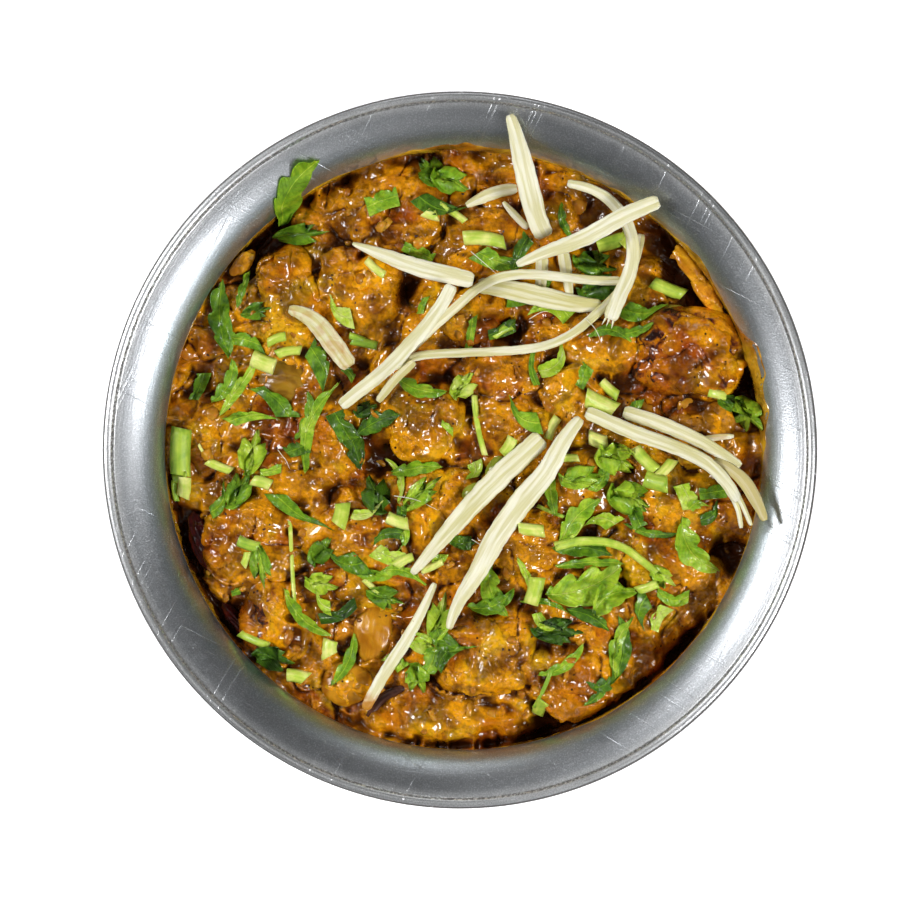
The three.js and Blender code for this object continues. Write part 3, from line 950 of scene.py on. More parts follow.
def new_finish(name: str, **values: object) -> tuple[bpy.types.Material, Tree, bpy.types.Node]:
    """Starts a material.

    Args:
        name: of the material.
        values: what stays the same all over, by the shader's own socket names with
            underscores for spaces.

    Returns:
        The material, a Tree on its nodes and its shader.
    """
    material = bpy.data.materials.new(name)
    material.use_nodes = True
    shader = material.node_tree.nodes["Principled BSDF"]
    for key, value in values.items():
        shader.inputs[key.replace("_", " ")].default_value = value
    return material, Tree(material.node_tree), shader


@dataclass(frozen=True)
class FoodFinish:
    """Wet masala, bare or over meat: a mottled colour with painted shade where it lies deep, and a
    wet relief.
    """

    name: str
    dark: Colour
    middle: Colour
    bright: Colour
    lift: float = 0.0
    red: float = 0.0
    coarse: float = 1.0
    fine: float = 0.24
    depth: float = 0.0009
    char: bool = False
    oil: bool = False

    def build(self) -> bpy.types.Material:
        """Makes the material; it reads the values "deep" (for painted shade and less coat), "char"
        and "oil" of the piece.
        """
        material, tree, shader = new_finish(
            self.name, IOR=1.2, Coat_Roughness=0.06, Coat_IOR=1.45
        )
        look = SHOP.used(
            tree,
            Effect.MOTTLE,
            Dark=self.dark,
            Middle=self.middle,
            Bright=self.bright,
            Deep=tree.kept("deep"),
            Lift=self.lift,
            Red=self.red,
        )
        colour, rough = look["Colour"], look["Roughness"]
        height = SHOP.used(tree, Effect.WET, Coarse=self.coarse, Fine=self.fine)["Height"]
        if self.char:
            burnt = tree.kept("char")
            grain = tree.noise(tree.place(), 420.0, 3.0, 0.6)
            rust = tree.mix(tree.spread(grain, 0.6, 0.4), rgb(0.30, 0.055, 0.006), colour)
            colour = tree.mix(tree.spread(burnt, 0.0, 0.5), colour, rust)
            burnt = burnt * tree.spread(grain, 0.4, 0.62)
            colour = tree.mix(burnt, colour, rgb(0.022, 0.007, 0.005))
        if self.oil:
            oil = tree.kept("oil")
            colour = tree.mix(oil * 0.8, colour, rgb(0.04, 0.009, 0.001))
            calm = 1.0 - oil * 0.6
            rough = rough * tree.spread(calm, 0.0, 1.0, (0.2, 1.0))
            height = height * calm
        coat = tree.spread(tree.kept("deep"), 0.1, 0.75, (0.95, 0.12))
        normal = tree.bump(height, self.depth)
        tree.feed(shader, Coat_Weight=coat, Base_Color=colour, Roughness=rough, Normal=normal)
        return material


@dataclass(frozen=True)
class SoftFinish:
    """Translucent cooked onion or a glossy skin: fibres along the piece, a wet shine and painted
    shade where it lies deep.
    """

    name: str
    pale: Colour
    dark: Colour
    rough: float = 0.14
    soft: float = 0.5
    depth: float = 0.00018
    along: float = 0.1
    across: float = 0.9

    def build(self) -> bpy.types.Material:
        """Makes the material, which lets light in to a depth of about 2 mm."""
        material, tree, shader = new_finish(
            self.name,
            IOR=1.42,
            Subsurface_Weight=self.soft,
            Subsurface_Scale=0.002,
            Subsurface_Radius=(1.0, 0.5, 0.15),
        )
        fibre = SHOP.used(tree, Effect.FIBRE, Along=self.along, Across=self.across)
        patch = tree.noise(tree.place(), 190.0, 4.0, 0.5)
        share = fibre["Height"] * 0.5 + patch
        colour = tree.mix(tree.spread(share, 0.55, 0.95), self.dark, self.pale)
        # painted shade: the colour goes towards near black where the piece lies deep
        deep = tree.spread(tree.kept("deep"), 0.3, 1.0, (0.0, 0.8))
        colour = tree.mix(deep, colour, rgb(0.03, 0.008, 0.003))
        shine = self.rough + patch * 0.12
        wet = SHOP.used(tree, Effect.WET, Coarse=0.35, Fine=0.1)
        normal = tree.bump(fibre["Height"] + wet["Height"], self.depth)
        tree.feed(shader, Base_Color=colour, Roughness=shine, Normal=normal)
        return material


@dataclass(frozen=True)
class GingerFinish:
    """Raw ginger: cream flesh with fibres, greener inside, stained where sauce touched it."""

    name: str = "ginger_flesh"
    pale: Colour = rgb(0.93, 0.90, 0.70)
    green: Colour = rgb(0.66, 0.61, 0.26)
    brown: Colour = rgb(0.50, 0.33, 0.11)
    sauce: Colour = rgb(0.55, 0.24, 0.02)
    depth: float = 0.00022

    def build(self) -> bpy.types.Material:
        """Makes the material; it reads the values "stain" and "age" of the strips."""
        material, tree, shader = new_finish(
            self.name,
            IOR=1.4,
            Subsurface_Weight=0.2,
            Subsurface_Scale=0.001,
            Subsurface_Radius=(1.0, 0.9, 0.5),
        )
        fibre = SHOP.used(tree, Effect.FIBRE, Along=0.16, Across=2.6)
        streak = tree.spread(fibre["Height"], 0.3, 0.7)
        wide = tree.spread(fibre["Streak"], 0.4, 0.62, (-0.25, 0.45))
        green = tree.maths("ADD", streak * 0.2 + tree.kept("age"), wide, clamp=True)
        colour = tree.mix(green, self.pale, self.green)
        rot = tree.spread(tree.kept("age"), 0.45, 1.0, (0.0, 0.6))
        colour = tree.mix(rot, colour, self.brown)
        patch = tree.noise(tree.place(), 330.0, 4.0, 0.8)
        touched = tree.kept("stain") + patch * 0.8
        colour = tree.mix(tree.spread(touched, 0.72, 1.15), colour, self.sauce)
        shine = tree.spread(fibre["Streak"], 0.3, 0.7, (0.28, 0.5))
        normal = tree.bump(fibre["Height"], self.depth)
        tree.feed(shader, Base_Color=colour, Roughness=shine, Normal=normal)
        return material


@dataclass(frozen=True)
class HerbFinish:
    """Coriander: a green picked by each piece's tone, pale at the cuts, veined or ribbed."""

    name: str
    stops: tuple[tuple[float, Colour], ...]
    veins: bool
    rough: float = 0.38
    depth: float = 0.00016

    def build(self) -> bpy.types.Material:
        """Makes the material; it reads the values "tone" and "cut" of the pieces."""
        material, tree, shader = new_finish(
            self.name,
            IOR=1.36,
            Subsurface_Weight=0.15,
            Subsurface_Scale=0.001,
            Subsurface_Radius=(0.5, 1.0, 0.15),
            Coat_Weight=0.25,
            Coat_Roughness=0.1,
        )
        along, across = (0.9, 0.9) if self.veins else (0.1, 1.6)
        height = SHOP.used(tree, Effect.FIBRE, Along=along, Across=across)["Height"]
        patch = tree.noise(tree.place(), 300.0, 3.0, 0.4)
        swing = (patch - 0.5) * 0.8
        tone = tree.kept("tone") + swing + (height - 0.5) * 0.4
        if self.veins:
            along, across, _ = tree.run()
            side = abs(across)
            rib = abs(tree.maths("SINE", (along - side * 1.1) * 2.6))
            rib = tree.maths("MAXIMUM", tree.spread(rib, 0.16, 0.0), tree.spread(side, 0.16, 0.05))
            tone = tone + rib * 0.2
            height = height - rib
        colour = tree.ramp(tone, self.stops)
        colour = tree.mix(tree.kept("cut"), colour, rgb(0.60, 0.70, 0.24))
        shine = self.rough + patch * 0.15
        normal = tree.bump(height, self.depth)
        tree.feed(shader, Base_Color=colour, Roughness=shine, Normal=normal)
        return material


@dataclass(frozen=True)
class SteelFinish:
    """Spun steel with the wear of use: fine turning lines, a speckled grain, scratches and pits;
    with painted light on it: a bluish painted shade near the neck, a painted reflection on the lip,
    painted glints among the specks and painted dark lines at the bead.
    """

    name: str = "worn_steel_painted_sheen"
    bare: Colour = rgb(0.47, 0.49, 0.515)
    painted_cool_shade: Colour = rgb(0.40, 0.51, 0.56)
    film: Colour = rgb(0.47, 0.27, 0.03)
    pit_and_painted_line_colour: Colour = rgb(0.045, 0.04, 0.038)
    soiled: tuple[float, float, float] = (0.68, 0.73, 0.0)  # the way to the soiled side
    depth: float = 0.0001

    def build(self) -> bpy.types.Material:
        """Makes the material from the dish's own coordinates and the value "inside"."""
        material, tree, shader = new_finish(self.name, IOR=1.45)
        place = tree.place()
        x, y, height = tree.parts(place)
        level = tree.read("CombineXYZ", {0: x, 1: y})
        radius = tree.read("VectorMath", {0: level}, "Value", operation="LENGTH")
        way = tree.read("VectorMath", {0: level}, operation="NORMALIZE")
        east, north, _ = tree.parts(way)
        across = radius - height * 0.7
        lathe = tree.read("CombineXYZ", {0: east * 5.0, 1: north * 5.0, 2: across * 3200.0})
        lines = tree.noise(lathe, 1.0, 3.0)
        grain = tree.noise(place, 2600.0, 3.0)
        blot = tree.noise(place, 700.0, 3.0)
        patch = tree.noise(place, 48.0, 5.0, 0.5)
        scratch = tree.maths(
            "MAXIMUM", self.scratches(tree, place, 0.5), self.scratches(tree, place, -1.1)
        )
        pit = tree.spread(tree.read("TexVoronoi", {"Vector": place, "Scale": 62.0}), 0.026, 0.016)
        inside = tree.kept("inside")
        # painted shade: the inside near the neck is tinted bluish, for the shade and the dim
        # reflection there
        painted_cool_shade = tree.spread(radius, 0.0735, 0.0672) * inside
        colour = tree.mix(painted_cool_shade, self.bare, self.painted_cool_shade)
        colour = tree.mix(tree.spread(patch, 0.35, 0.75, (0.0, 0.4)), colour, rgb(0.36, 0.37, 0.39))
        # painted reflection: the lip's colour is lightened towards near white, for the light it
        # reflects
        lip = tree.spread(radius, 0.0755, 0.078, (0.0, 0.85))
        colour = tree.mix(lip, colour, rgb(0.88, 0.89, 0.90))
        speckle = tree.noise(place, 3300.0, 2.0)
        dull = tree.spread(speckle, 0.38, 0.6, (0.28, 0.0))
        colour = tree.mix(dull, colour, rgb(0.2, 0.21, 0.22))
        # painted glints: the brightest specks are lightened towards white; the darker specks are
        # the steel's grain
        painted_glint = tree.spread(speckle, 0.56, 0.66, (0.0, 0.25))
        colour = tree.mix(painted_glint, colour, rgb(0.95, 0.97, 1))
        # painted dark reflections: a broken dark line along the groove at the bead's foot and a
        # dark band round the bead's outer side; the Voronoi pits joined to them are the steel's own
        # pits
        ring = abs(radius - 0.0778)
        line_breakup = tree.spread(tree.noise(place, 1500.0, 3.0), 0.36, 0.56)
        pits_and_painted_lines = tree.spread(ring, 0.00042, 0.0001, (0.0, 0.8)) * line_breakup
        edge = tree.spread(radius, 0.0794, 0.07965) * tree.spread(blot, 0.2, 0.35)
        pits_and_painted_lines = tree.maths("MAXIMUM", tree.maths("MAXIMUM", pits_and_painted_lines, edge), pit)
        colour = tree.mix(pits_and_painted_lines, colour, self.pit_and_painted_line_colour)
        dot = tree.read("VectorMath", {0: way, 1: self.soiled}, "Value", operation="DOT_PRODUCT")
        side = tree.spread(dot, 0.25, 0.65, (0.12, 1.0))
        low = tree.spread(height, 0.0588, 0.0545) * side * inside
        film = low * tree.spread(blot, 0.35, 0.55, (0.25, 0.95))
        colour = tree.mix(film, colour, self.film)
        bare = tree.maths("SUBTRACT", 1.0, tree.maths("MAXIMUM", film, pits_and_painted_lines), clamp=True)
        rough = 0.25 + patch * 0.16 + blot * 0.1
        grain = grain * 0.4
        normal = tree.bump(lines * 0.4 + grain - scratch * 0.25, self.depth)
        tree.feed(shader, Base_Color=colour, Metallic=bare, Roughness=rough, Normal=normal)
        return material

    @staticmethod
    def scratches(tree: Tree, place: Value, turn: float) -> Value:
        """Straight fine scratches in one direction: noise stretched eighty times."""
        spun = tree.read("VectorRotate", {"Vector": place, "Angle": turn})
        lie = tree.read("Mapping", {"Vector": spun, "Scale": (22, 3400, 0)})
        return tree.spread(tree.noise(lie, 1.0, 0.0), 0.72, 0.85)


# ---- Pieces ----


@dataclass(frozen=True)
class Bowl:
    """The steel bowl and the masala smeared on its wall."""

    sides: int = 288
    steps: int = POT.fine
    smear_sides: int = 720
    smear_rows: int = 9
    smear_foot: float = 47.0
    smear_top: float = 50.8

    def build_wall(self) -> Patch:
        """Turns the wall's section round the vertical axis."""
        section = POT.section(self.steps)
        rings = around(section[:, :1], full_turn(self.sides), section[:, 1:])
        wall = lofted(rings, (np.zeros(3), np.array([0.0, 0.0, POT.floor])))
        inner = np.arange(len(section)) >= len(section) - POT.inner_rings(self.steps)
        wall.values = {"inside": np.append(np.repeat(inner, self.sides), [False, True])}
        return wall

    def build_smear(self) -> Patch:
        """A film on the wall with a ragged top: highest at the back and on the right.

        Each section runs up the wall at its inner radius less a thickness that falls to
        nothing at the film's top, then down again behind the wall's skin.

        Returns:
            The closed film, a ring of such sections.
        """
        turn = full_turn(self.smear_sides)[:, None]
        back = np.exp(-(((turn - 1.5) / 0.75) ** 2))
        right = np.exp(-((np.sin(0.5 * (turn - 0.2)) / 0.3) ** 2))
        low = np.exp(-(((turn - 5.3) / 0.5) ** 2))
        ragged = 0.75 + 0.35 * cloud(around(60, turn, 0), 9.0, 71, 3)
        top = self.smear_top + (7.0 * back + 8.4 * right + 4.4 * low) * ragged
        share = np.linspace(0, 1, self.smear_rows)[None, :]
        height = self.smear_foot + (top - self.smear_foot) * share
        radius = POT.radius_at(height)
        where = around(radius, turn, height)
        thick = 0.2 + 0.35 * cloud(where, 3.2, 73, 3) + 0.45 * pebbles(where, 1.6, 74)
        thick *= 1 - share**2
        front = radius - np.clip(thick, 0.05, None)
        out = np.concatenate([front, radius[:, ::-1] + 0.25], axis=1)
        rise = np.concatenate([height, height[:, ::-1]], axis=1)
        points = around(out, turn, rise)
        count, size = points.shape[:2]
        index = np.arange(count * size).reshape(count, size)
        after, beside = np.roll(index, -1, axis=0), np.roll(index, -1, axis=1)
        quads = stacked(index, beside, np.roll(beside, -1, axis=0), after).reshape(-1, 4)
        flat = points.reshape(-1, 3)
        deep = 0.15 + 0.35 * cloud(flat, 4.0, 75, 2)
        none = np.zeros((0, 3), dtype=int)
        return Patch(flat, quads, none, 0 * flat[:, :2], {"deep": np.clip(deep, 0, 0.7)})

    def dress(self) -> None:
        """Makes both pieces with their finishes."""
        make_piece("steel_bowl", self.build_wall(), SteelFinish().build(), "steel", "bowl")
        ochre = FoodFinish(
            "wall_masala", rgb(0.16, 0.06, 0.004), rgb(0.44, 0.22, 0.010), rgb(0.64, 0.36, 0.02)
        )
        make_piece("wall_smear", self.build_smear(), ochre.build(), "masala")


DARK, MIDDLE, BRIGHT = rgb(0.055, 0.012, 0.0004), rgb(0.305, 0.085, 0.001), rgb(0.87, 0.355, 0.003)


@dataclass(frozen=True)
class Masala:
    """The sauce's body: its relief on top, the bowl's inside underneath."""

    cells: int = 296
    skirt: tuple[float, ...] = (44.0, 36.0, 22.0, 9.0, 1.7)  # heights of its rings
    wall_gap: float = 0.15

    def build(self, ground: Ground) -> Patch:
        """A square grid drawn in to a disc, x = u (1 - v^2 / 2)^0.5, closed by a skirt.

        Args:
            ground: for how deep each place lies.

        Returns:
            The closed body with its values "deep" and "oil".
        """
        line = np.linspace(-1, 1, self.cells + 1)
        u, v = np.meshgrid(line, line, indexing="ij")
        x = SAUCE.edge * u * np.sqrt(1 - v * v / 2)
        y = SAUCE.edge * v * np.sqrt(1 - u * u / 2)
        z, oil = SAUCE.surface(x, y)
        top = stacked(x, y, z)
        index = np.arange(x.size).reshape(x.shape)
        quads = [stacked(index[:-1, :-1], index[1:, :-1], index[1:, 1:], index[:-1, 1:])]
        rim = np.concatenate([index[:-1, 0], index[-1, :-1], index[:0:-1, -1], index[0, :0:-1]])
        loop = top.reshape(-1, 3)[rim]
        turn = np.arctan2(loop[:, 1], loop[:, 0])
        heights = np.array(self.skirt)[:, None]
        radius = POT.radius_at(heights) - self.wall_gap
        skirt = around(radius, turn, heights)
        under = index.size + np.arange(skirt.size // 3).reshape(skirt.shape[:2])
        rows = np.concatenate([rim[None, :], under])
        beside = np.roll(rows, -1, axis=1)
        quads.append(stacked(rows[:-1], rows[1:], beside[1:], beside[:-1]))
        foot = np.array([[0.0, 0.0, self.skirt[-1]]])
        points = np.concatenate([top.reshape(-1, 3), skirt.reshape(-1, 3), foot])
        tris = stacked(len(points) - 1, beside[-1], rows[-1])
        oils = np.concatenate([oil.ravel(), np.zeros(len(points) - oil.size)])
        values = {"deep": ground.depth(points), "oil": oils}
        quads = np.concatenate([part.reshape(-1, 4) for part in quads])
        return Patch(points, quads, tris, 0 * points[:, :2], values)

    def dress(self, ground: Ground) -> None:
        """Makes the sauce with its finish."""
        finish = FoodFinish("masala_sauce", DARK, MIDDLE, BRIGHT, oil=True)
        make_piece("masala_body", self.build(ground), finish.build(), "masala", "masala_gravy")


class Skin(Enum):
    """How a piece of mutton is cooked and coated."""

    COATED = "mutton_coated"
    BRIGHT = "mutton_bright"
    BROWN = "mutton_brown"
    REDDISH = "mutton_reddish"
    CHARRED = "mutton_charred"


SKINS = {
    Skin.COATED: FoodFinish("mutton_coated", DARK, MIDDLE, BRIGHT),
    Skin.BRIGHT: FoodFinish(
        "mutton_bright", DARK, rgb(0.39, 0.12, 0.001), rgb(0.90, 0.39, 0.003), lift=0.05
    ),
    Skin.BROWN: FoodFinish(
        "mutton_brown", DARK, rgb(0.29, 0.095, 0.005), rgb(0.55, 0.23, 0.01)
    ),
    Skin.REDDISH: FoodFinish("mutton_reddish", DARK, MIDDLE, BRIGHT, red=0.35),
    Skin.CHARRED: FoodFinish("mutton_charred", DARK, MIDDLE, BRIGHT, red=0.3, char=True),
}
PIECES_OF_SKIN = {
    Skin.BRIGHT: (2, 13, 14, 19, 21, 24),
    Skin.BROWN: (8, 10, 15, 23, 26),
    Skin.REDDISH: (5, 9, 22, 27),
    Skin.CHARRED: (7, 18),
}


def skin_of(number: int) -> Skin:
    """The skin of a numbered piece of mutton."""
    found = (skin for skin, pieces in PIECES_OF_SKIN.items() if number in pieces)
    return next(found, Skin.COATED)


@dataclass(frozen=True)
class Lumps:
    """The mutton and the other lumps, each its own piece over its own solid, and the two pods as
    one piece.
    """

    sides: int = 112
    rows: int = 62
    small_sides: int = 56
    small_rows: int = 34
    wall_gap: float = 0.3

    def pushed(self, lump: Lump, rings: Array, push: Array) -> Array:
        """Moves a lump's skin out from its middle, but no further than near the wall.

        Args:
            lump: whose middle it is.
            rings: points of the skin (..., 3).
            push: how far each point moves (...,).

        Returns:
            The moved points.
        """
        out = rings - np.array(lump.at)
        out /= np.linalg.norm(out, axis=-1, keepdims=True)
        points = rings + out * push[..., None]
        radius = np.hypot(points[..., 0], points[..., 1])
        most = POT.radius_at(points[..., 2]) - self.wall_gap
        share = np.minimum(1, most / np.maximum(radius, 1e-6))
        return points * stacked(share, share, 1)

    def meat(self, lump: Lump, ground: Ground) -> Patch:
        """A chunk: its block, then clouds, fibre ridges along its grain and the pulp.

        Args:
            lump: the form shared with the solids.
            ground: for how deep each place lies.

        Returns:
            The closed chunk with its values "deep" and "char".
        """
        rings = lump.rings(self.sides, self.rows)
        along, across = turned(rings[..., 0], rings[..., 1], -47.0 * lump.seed)
        fibre = stacked(0.16 * along, 1.1 * across, 0.5 * rings[..., 2])
        push = 1.8 * cloud(rings, 6.5, 100 + lump.seed, 2) + 0.3 * cloud(fibre, 1.6, 60, 2)
        push = np.minimum(push + 0.85 * SAUCE.pulp(rings) - 0.3, 1.3)
        push *= min(1.0, min(lump.half) / 4)
        shaped = self.pushed(lump, rings, push)
        body = lofted(shaped[1:-1], (shaped[0, 0], shaped[-1, 0]))
        ground.food.raised(shaped)
        u, _ = lump.local(body.points[:, 0], body.points[:, 1])
        burnt = cloud(body.points, 6.0, 200 + lump.seed, 3) - 0.4 * u
        char = smooth_step(0.12, 0.55, burnt)
        body.values = {"deep": ground.depth(body.points), "char": char}
        return body

    def smooth(self, lump: Lump, ground: Ground, swell: float, ridges: float) -> Patch:
        """A small lump: its block with a low swell, and ridges along its length.

        Args:
            lump: the form shared with the solids.
            ground: for how deep each place lies.
            swell: height of the clouds of 3 mm.
            ridges: height of the ridges.

        Returns:
            The closed lump with its value "deep"; its UV runs along its longer side.
        """
        rings = lump.rings(self.small_sides, self.small_rows)
        u, v = lump.local(rings[..., 0], rings[..., 1])
        u, v = u * lump.half[0], v * lump.half[1]
        along, across = (u, v) if lump.half[0] > lump.half[1] else (v, u)
        push = swell * cloud(rings, 3.0, 300 + lump.seed, 3)
        push = push + ridges * np.sin(4.2 * across + 1.3 * np.sin(0.5 * along))
        shaped = self.pushed(lump, rings, push)
        uv = stacked(along, across)
        body = lofted(shaped[1:-1], (shaped[0, 0], shaped[-1, 0]), uv[1:-1])
        body.values = {"deep": ground.depth(body.points)}
        ground.food.raised(shaped)
        return body

    def dress(self, ground: Ground) -> None:
        """Makes every lump, each over its solid but the joined pods, with finishes for each kind.
        """
        skins = {skin: SKINS[skin].build() for skin in Skin}
        for i, lump in enumerate(MUTTON, start=1):
            name = f"mutton_{i:02d}"
            form = self.meat(lump, ground)
            make_piece(f"{name}_chunk", form, skins[skin_of(i)], "mutton", name)
        orange = FoodFinish(
            "crumb_orange", rgb(0.3, 0.07, 0.003), rgb(0.7, 0.2, 0.004), rgb(0.95, 0.4, 0.02)
        ).build()
        crumbs = (replace(CRUMBS[0], half=(3.6, 1.7, 1.4)), *CRUMBS[1:])
        for i, lump in enumerate(crumbs, start=1):
            name = f"wall_crumb_{i:02d}"
            make_piece(f"{name}_bit", self.meat(lump, ground), orange, "crumb", name)
        petal = SoftFinish(
            "onion_petal", rgb(0.66, 0.30, 0.012), rgb(0.38, 0.135, 0.004), 0.19, 0.25, across=0.6
        )
        chilli = SoftFinish(
            "chilli_skin", rgb(0.15, 0.014, 0.012), rgb(0.025, 0.004, 0.004), 0.06, 0.05
        )
        browned = SoftFinish(
            "onion_brown", rgb(0.38, 0.20, 0.014), rgb(0.17, 0.07, 0.004), 0.17, 0.25, across=0.6
        )
        looks = [browned.build()] + [petal.build()] * (len(ONION) - 1)
        kinds = (
            ("onion", ONION, looks, "onion", 0.32, 0.05),
            ("chilli_skin", CHILLI, [chilli.build()] * len(CHILLI), "chilli", 0.5, 0.2),
        )
        for node, lumps, finishes, slot, swell, ridges in kinds:
            for i, (lump, finish) in enumerate(zip(lumps, finishes), start=1):
                name = f"{node}_{i:02d}"
                form = self.smooth(lump, ground, swell, ridges)
                make_piece(f"{name}_piece", form, finish, slot, name)
        pod = SoftFinish("green_pod", rgb(0.34, 0.38, 0.04), rgb(0.15, 0.18, 0.012), 0.1)
        sunk = [self.sunk(lump, ground) for lump in PODS]
        forms = [self.smooth(lump, ground, 0.1, 0.03) for lump in sunk]
        make_piece("green_pods", joined(forms), pod.build(), "coriander")

    @staticmethod
    def sunk(lump: Lump, ground: Ground) -> Lump:
        """The same lump with its middle a little under the food's surface."""
        x, y, drop = lump.at
        return replace(lump, at=(x, y, float(ground.food.at(x, y)) + drop))


def spline(path: list[tuple[float, float]], count: int) -> Array:
    """A centripetal Catmull-Rom curve through the points, cut into even lengths.

    Between two points each coordinate is the cubic whose end slopes are the
    differences on both sides, weighed by the square roots of the distances.

    Args:
        path: points seen from above.
        count: stations wanted, ends included.

    Returns:
        Stations (count, 2).
    """
    p = np.array(path, dtype=float)
    p = np.concatenate([[2 * p[0] - p[1]], p, [2 * p[-1] - p[-2]]])
    gap = np.maximum(np.linalg.norm(np.diff(p, axis=0), axis=1), 1e-6) ** 0.5
    d0, d1, d2 = gap[:-2, None], gap[1:-1, None], gap[2:, None]
    a, b, c, d = p[:-3], p[1:-2], p[2:-1], p[3:]
    start = ((b - a) / d0 - (c - a) / (d0 + d1) + (c - b) / d1) * d1
    end = ((c - b) / d1 - (d - b) / (d1 + d2) + (d - c) / d2) * d1
    w = np.linspace(0, 1, 40, endpoint=False)[None, :, None]
    curve = (
        b[:, None]
        + start[:, None] * w
        + (3 * (c - b) - 2 * start - end)[:, None] * w**2
        + (2 * (b - c) + start + end)[:, None] * w**3
    )
    fine = np.concatenate([curve.reshape(-1, 2), p[-2:-1]])
    run = lengths(fine)
    even = np.linspace(0, run[-1], count)
    return stacked(*(np.interp(even, run, fine[:, k]) for k in (0, 1)))


def swept(
    middle: Array, half: Array, thick: Array, power: float, size: int, roll: Array | float = 0.0
) -> tuple[Array, Array]:
    """Carries a rounded oblong along a curve: (cos^(2/p), sin^(2/p)) times the half sizes.

    Args:
        middle: centres of the sections (n, 3).
        half: half widths (n,) or (n, size), across the curve and level.
        thick: half thicknesses (n,).
        power: 2 is an ellipse, and more is squarer.
        size: points round a section.
        roll: turn of each section about the curve.

    Returns:
        The rings (n, size, 3) and the UV of run and reach across, in millimetres.
    """
    run = headings(middle[:, :2])
    side = stacked(-run[:, 1], run[:, 0], 0)
    c, s = np.cos(full_turn(size)), np.sin(full_turn(size))
    width = half[:, None] if half.ndim == 1 else half
    b = width * np.sign(c) * np.abs(c) ** (2 / power)
    h = thick[:, None] * np.sign(s) * np.abs(s) ** (2 / power)
    roll = np.asarray(roll) * np.ones(len(middle))
    cos, sin = np.cos(roll)[:, None], np.sin(roll)[:, None]
    across, up = b * cos - h * sin, b * sin + h * cos
    rings = middle[:, None] - side[:, None] * across[..., None]
    rings[..., 2] += up
    return rings[:, ::-1], stacked(lengths(middle)[:, None], b)[:, ::-1]


def box_mean(line: Array, half: int) -> Array:
    """Means over 2 half + 1 stations of a line (n,), whose end values go on past its ends."""
    wide = 2 * half + 1
    return np.convolve(np.pad(line, half, mode="edge"), np.ones(wide) / wide, mode="valid")


def evened(line: Array, half: int) -> Array:
    """A run (n, k) smoothed by a box mean of 2 half + 1 stations; its ends stay in place."""
    half = min(half, (len(line) - 1) // 2)
    padded = np.pad(line, ((half, half), (0, 0)), mode="reflect", reflect_type="odd")
    total = np.cumsum(np.pad(padded, ((1, 0), (0, 0))), axis=0)
    return (total[2 * half + 1 :] - total[: -2 * half - 1]) / (2 * half + 1)


class Cut(Enum):
    """How the far end of a ginger strip is left by the knife."""

    CLEAN = "clean"
    FORKED = "forked"
    FRAYED = "frayed"


@dataclass(frozen=True)
class Strip:
    """A strip of ginger: its run and widths as in the solids, and how it looks."""

    path: list[tuple[float, float]]
    width: tuple[float, float, float]
    age: float = 0.2
    stain: float = 0.0
    stain_end: float = 0.0
    cut: Cut = Cut.CLEAN


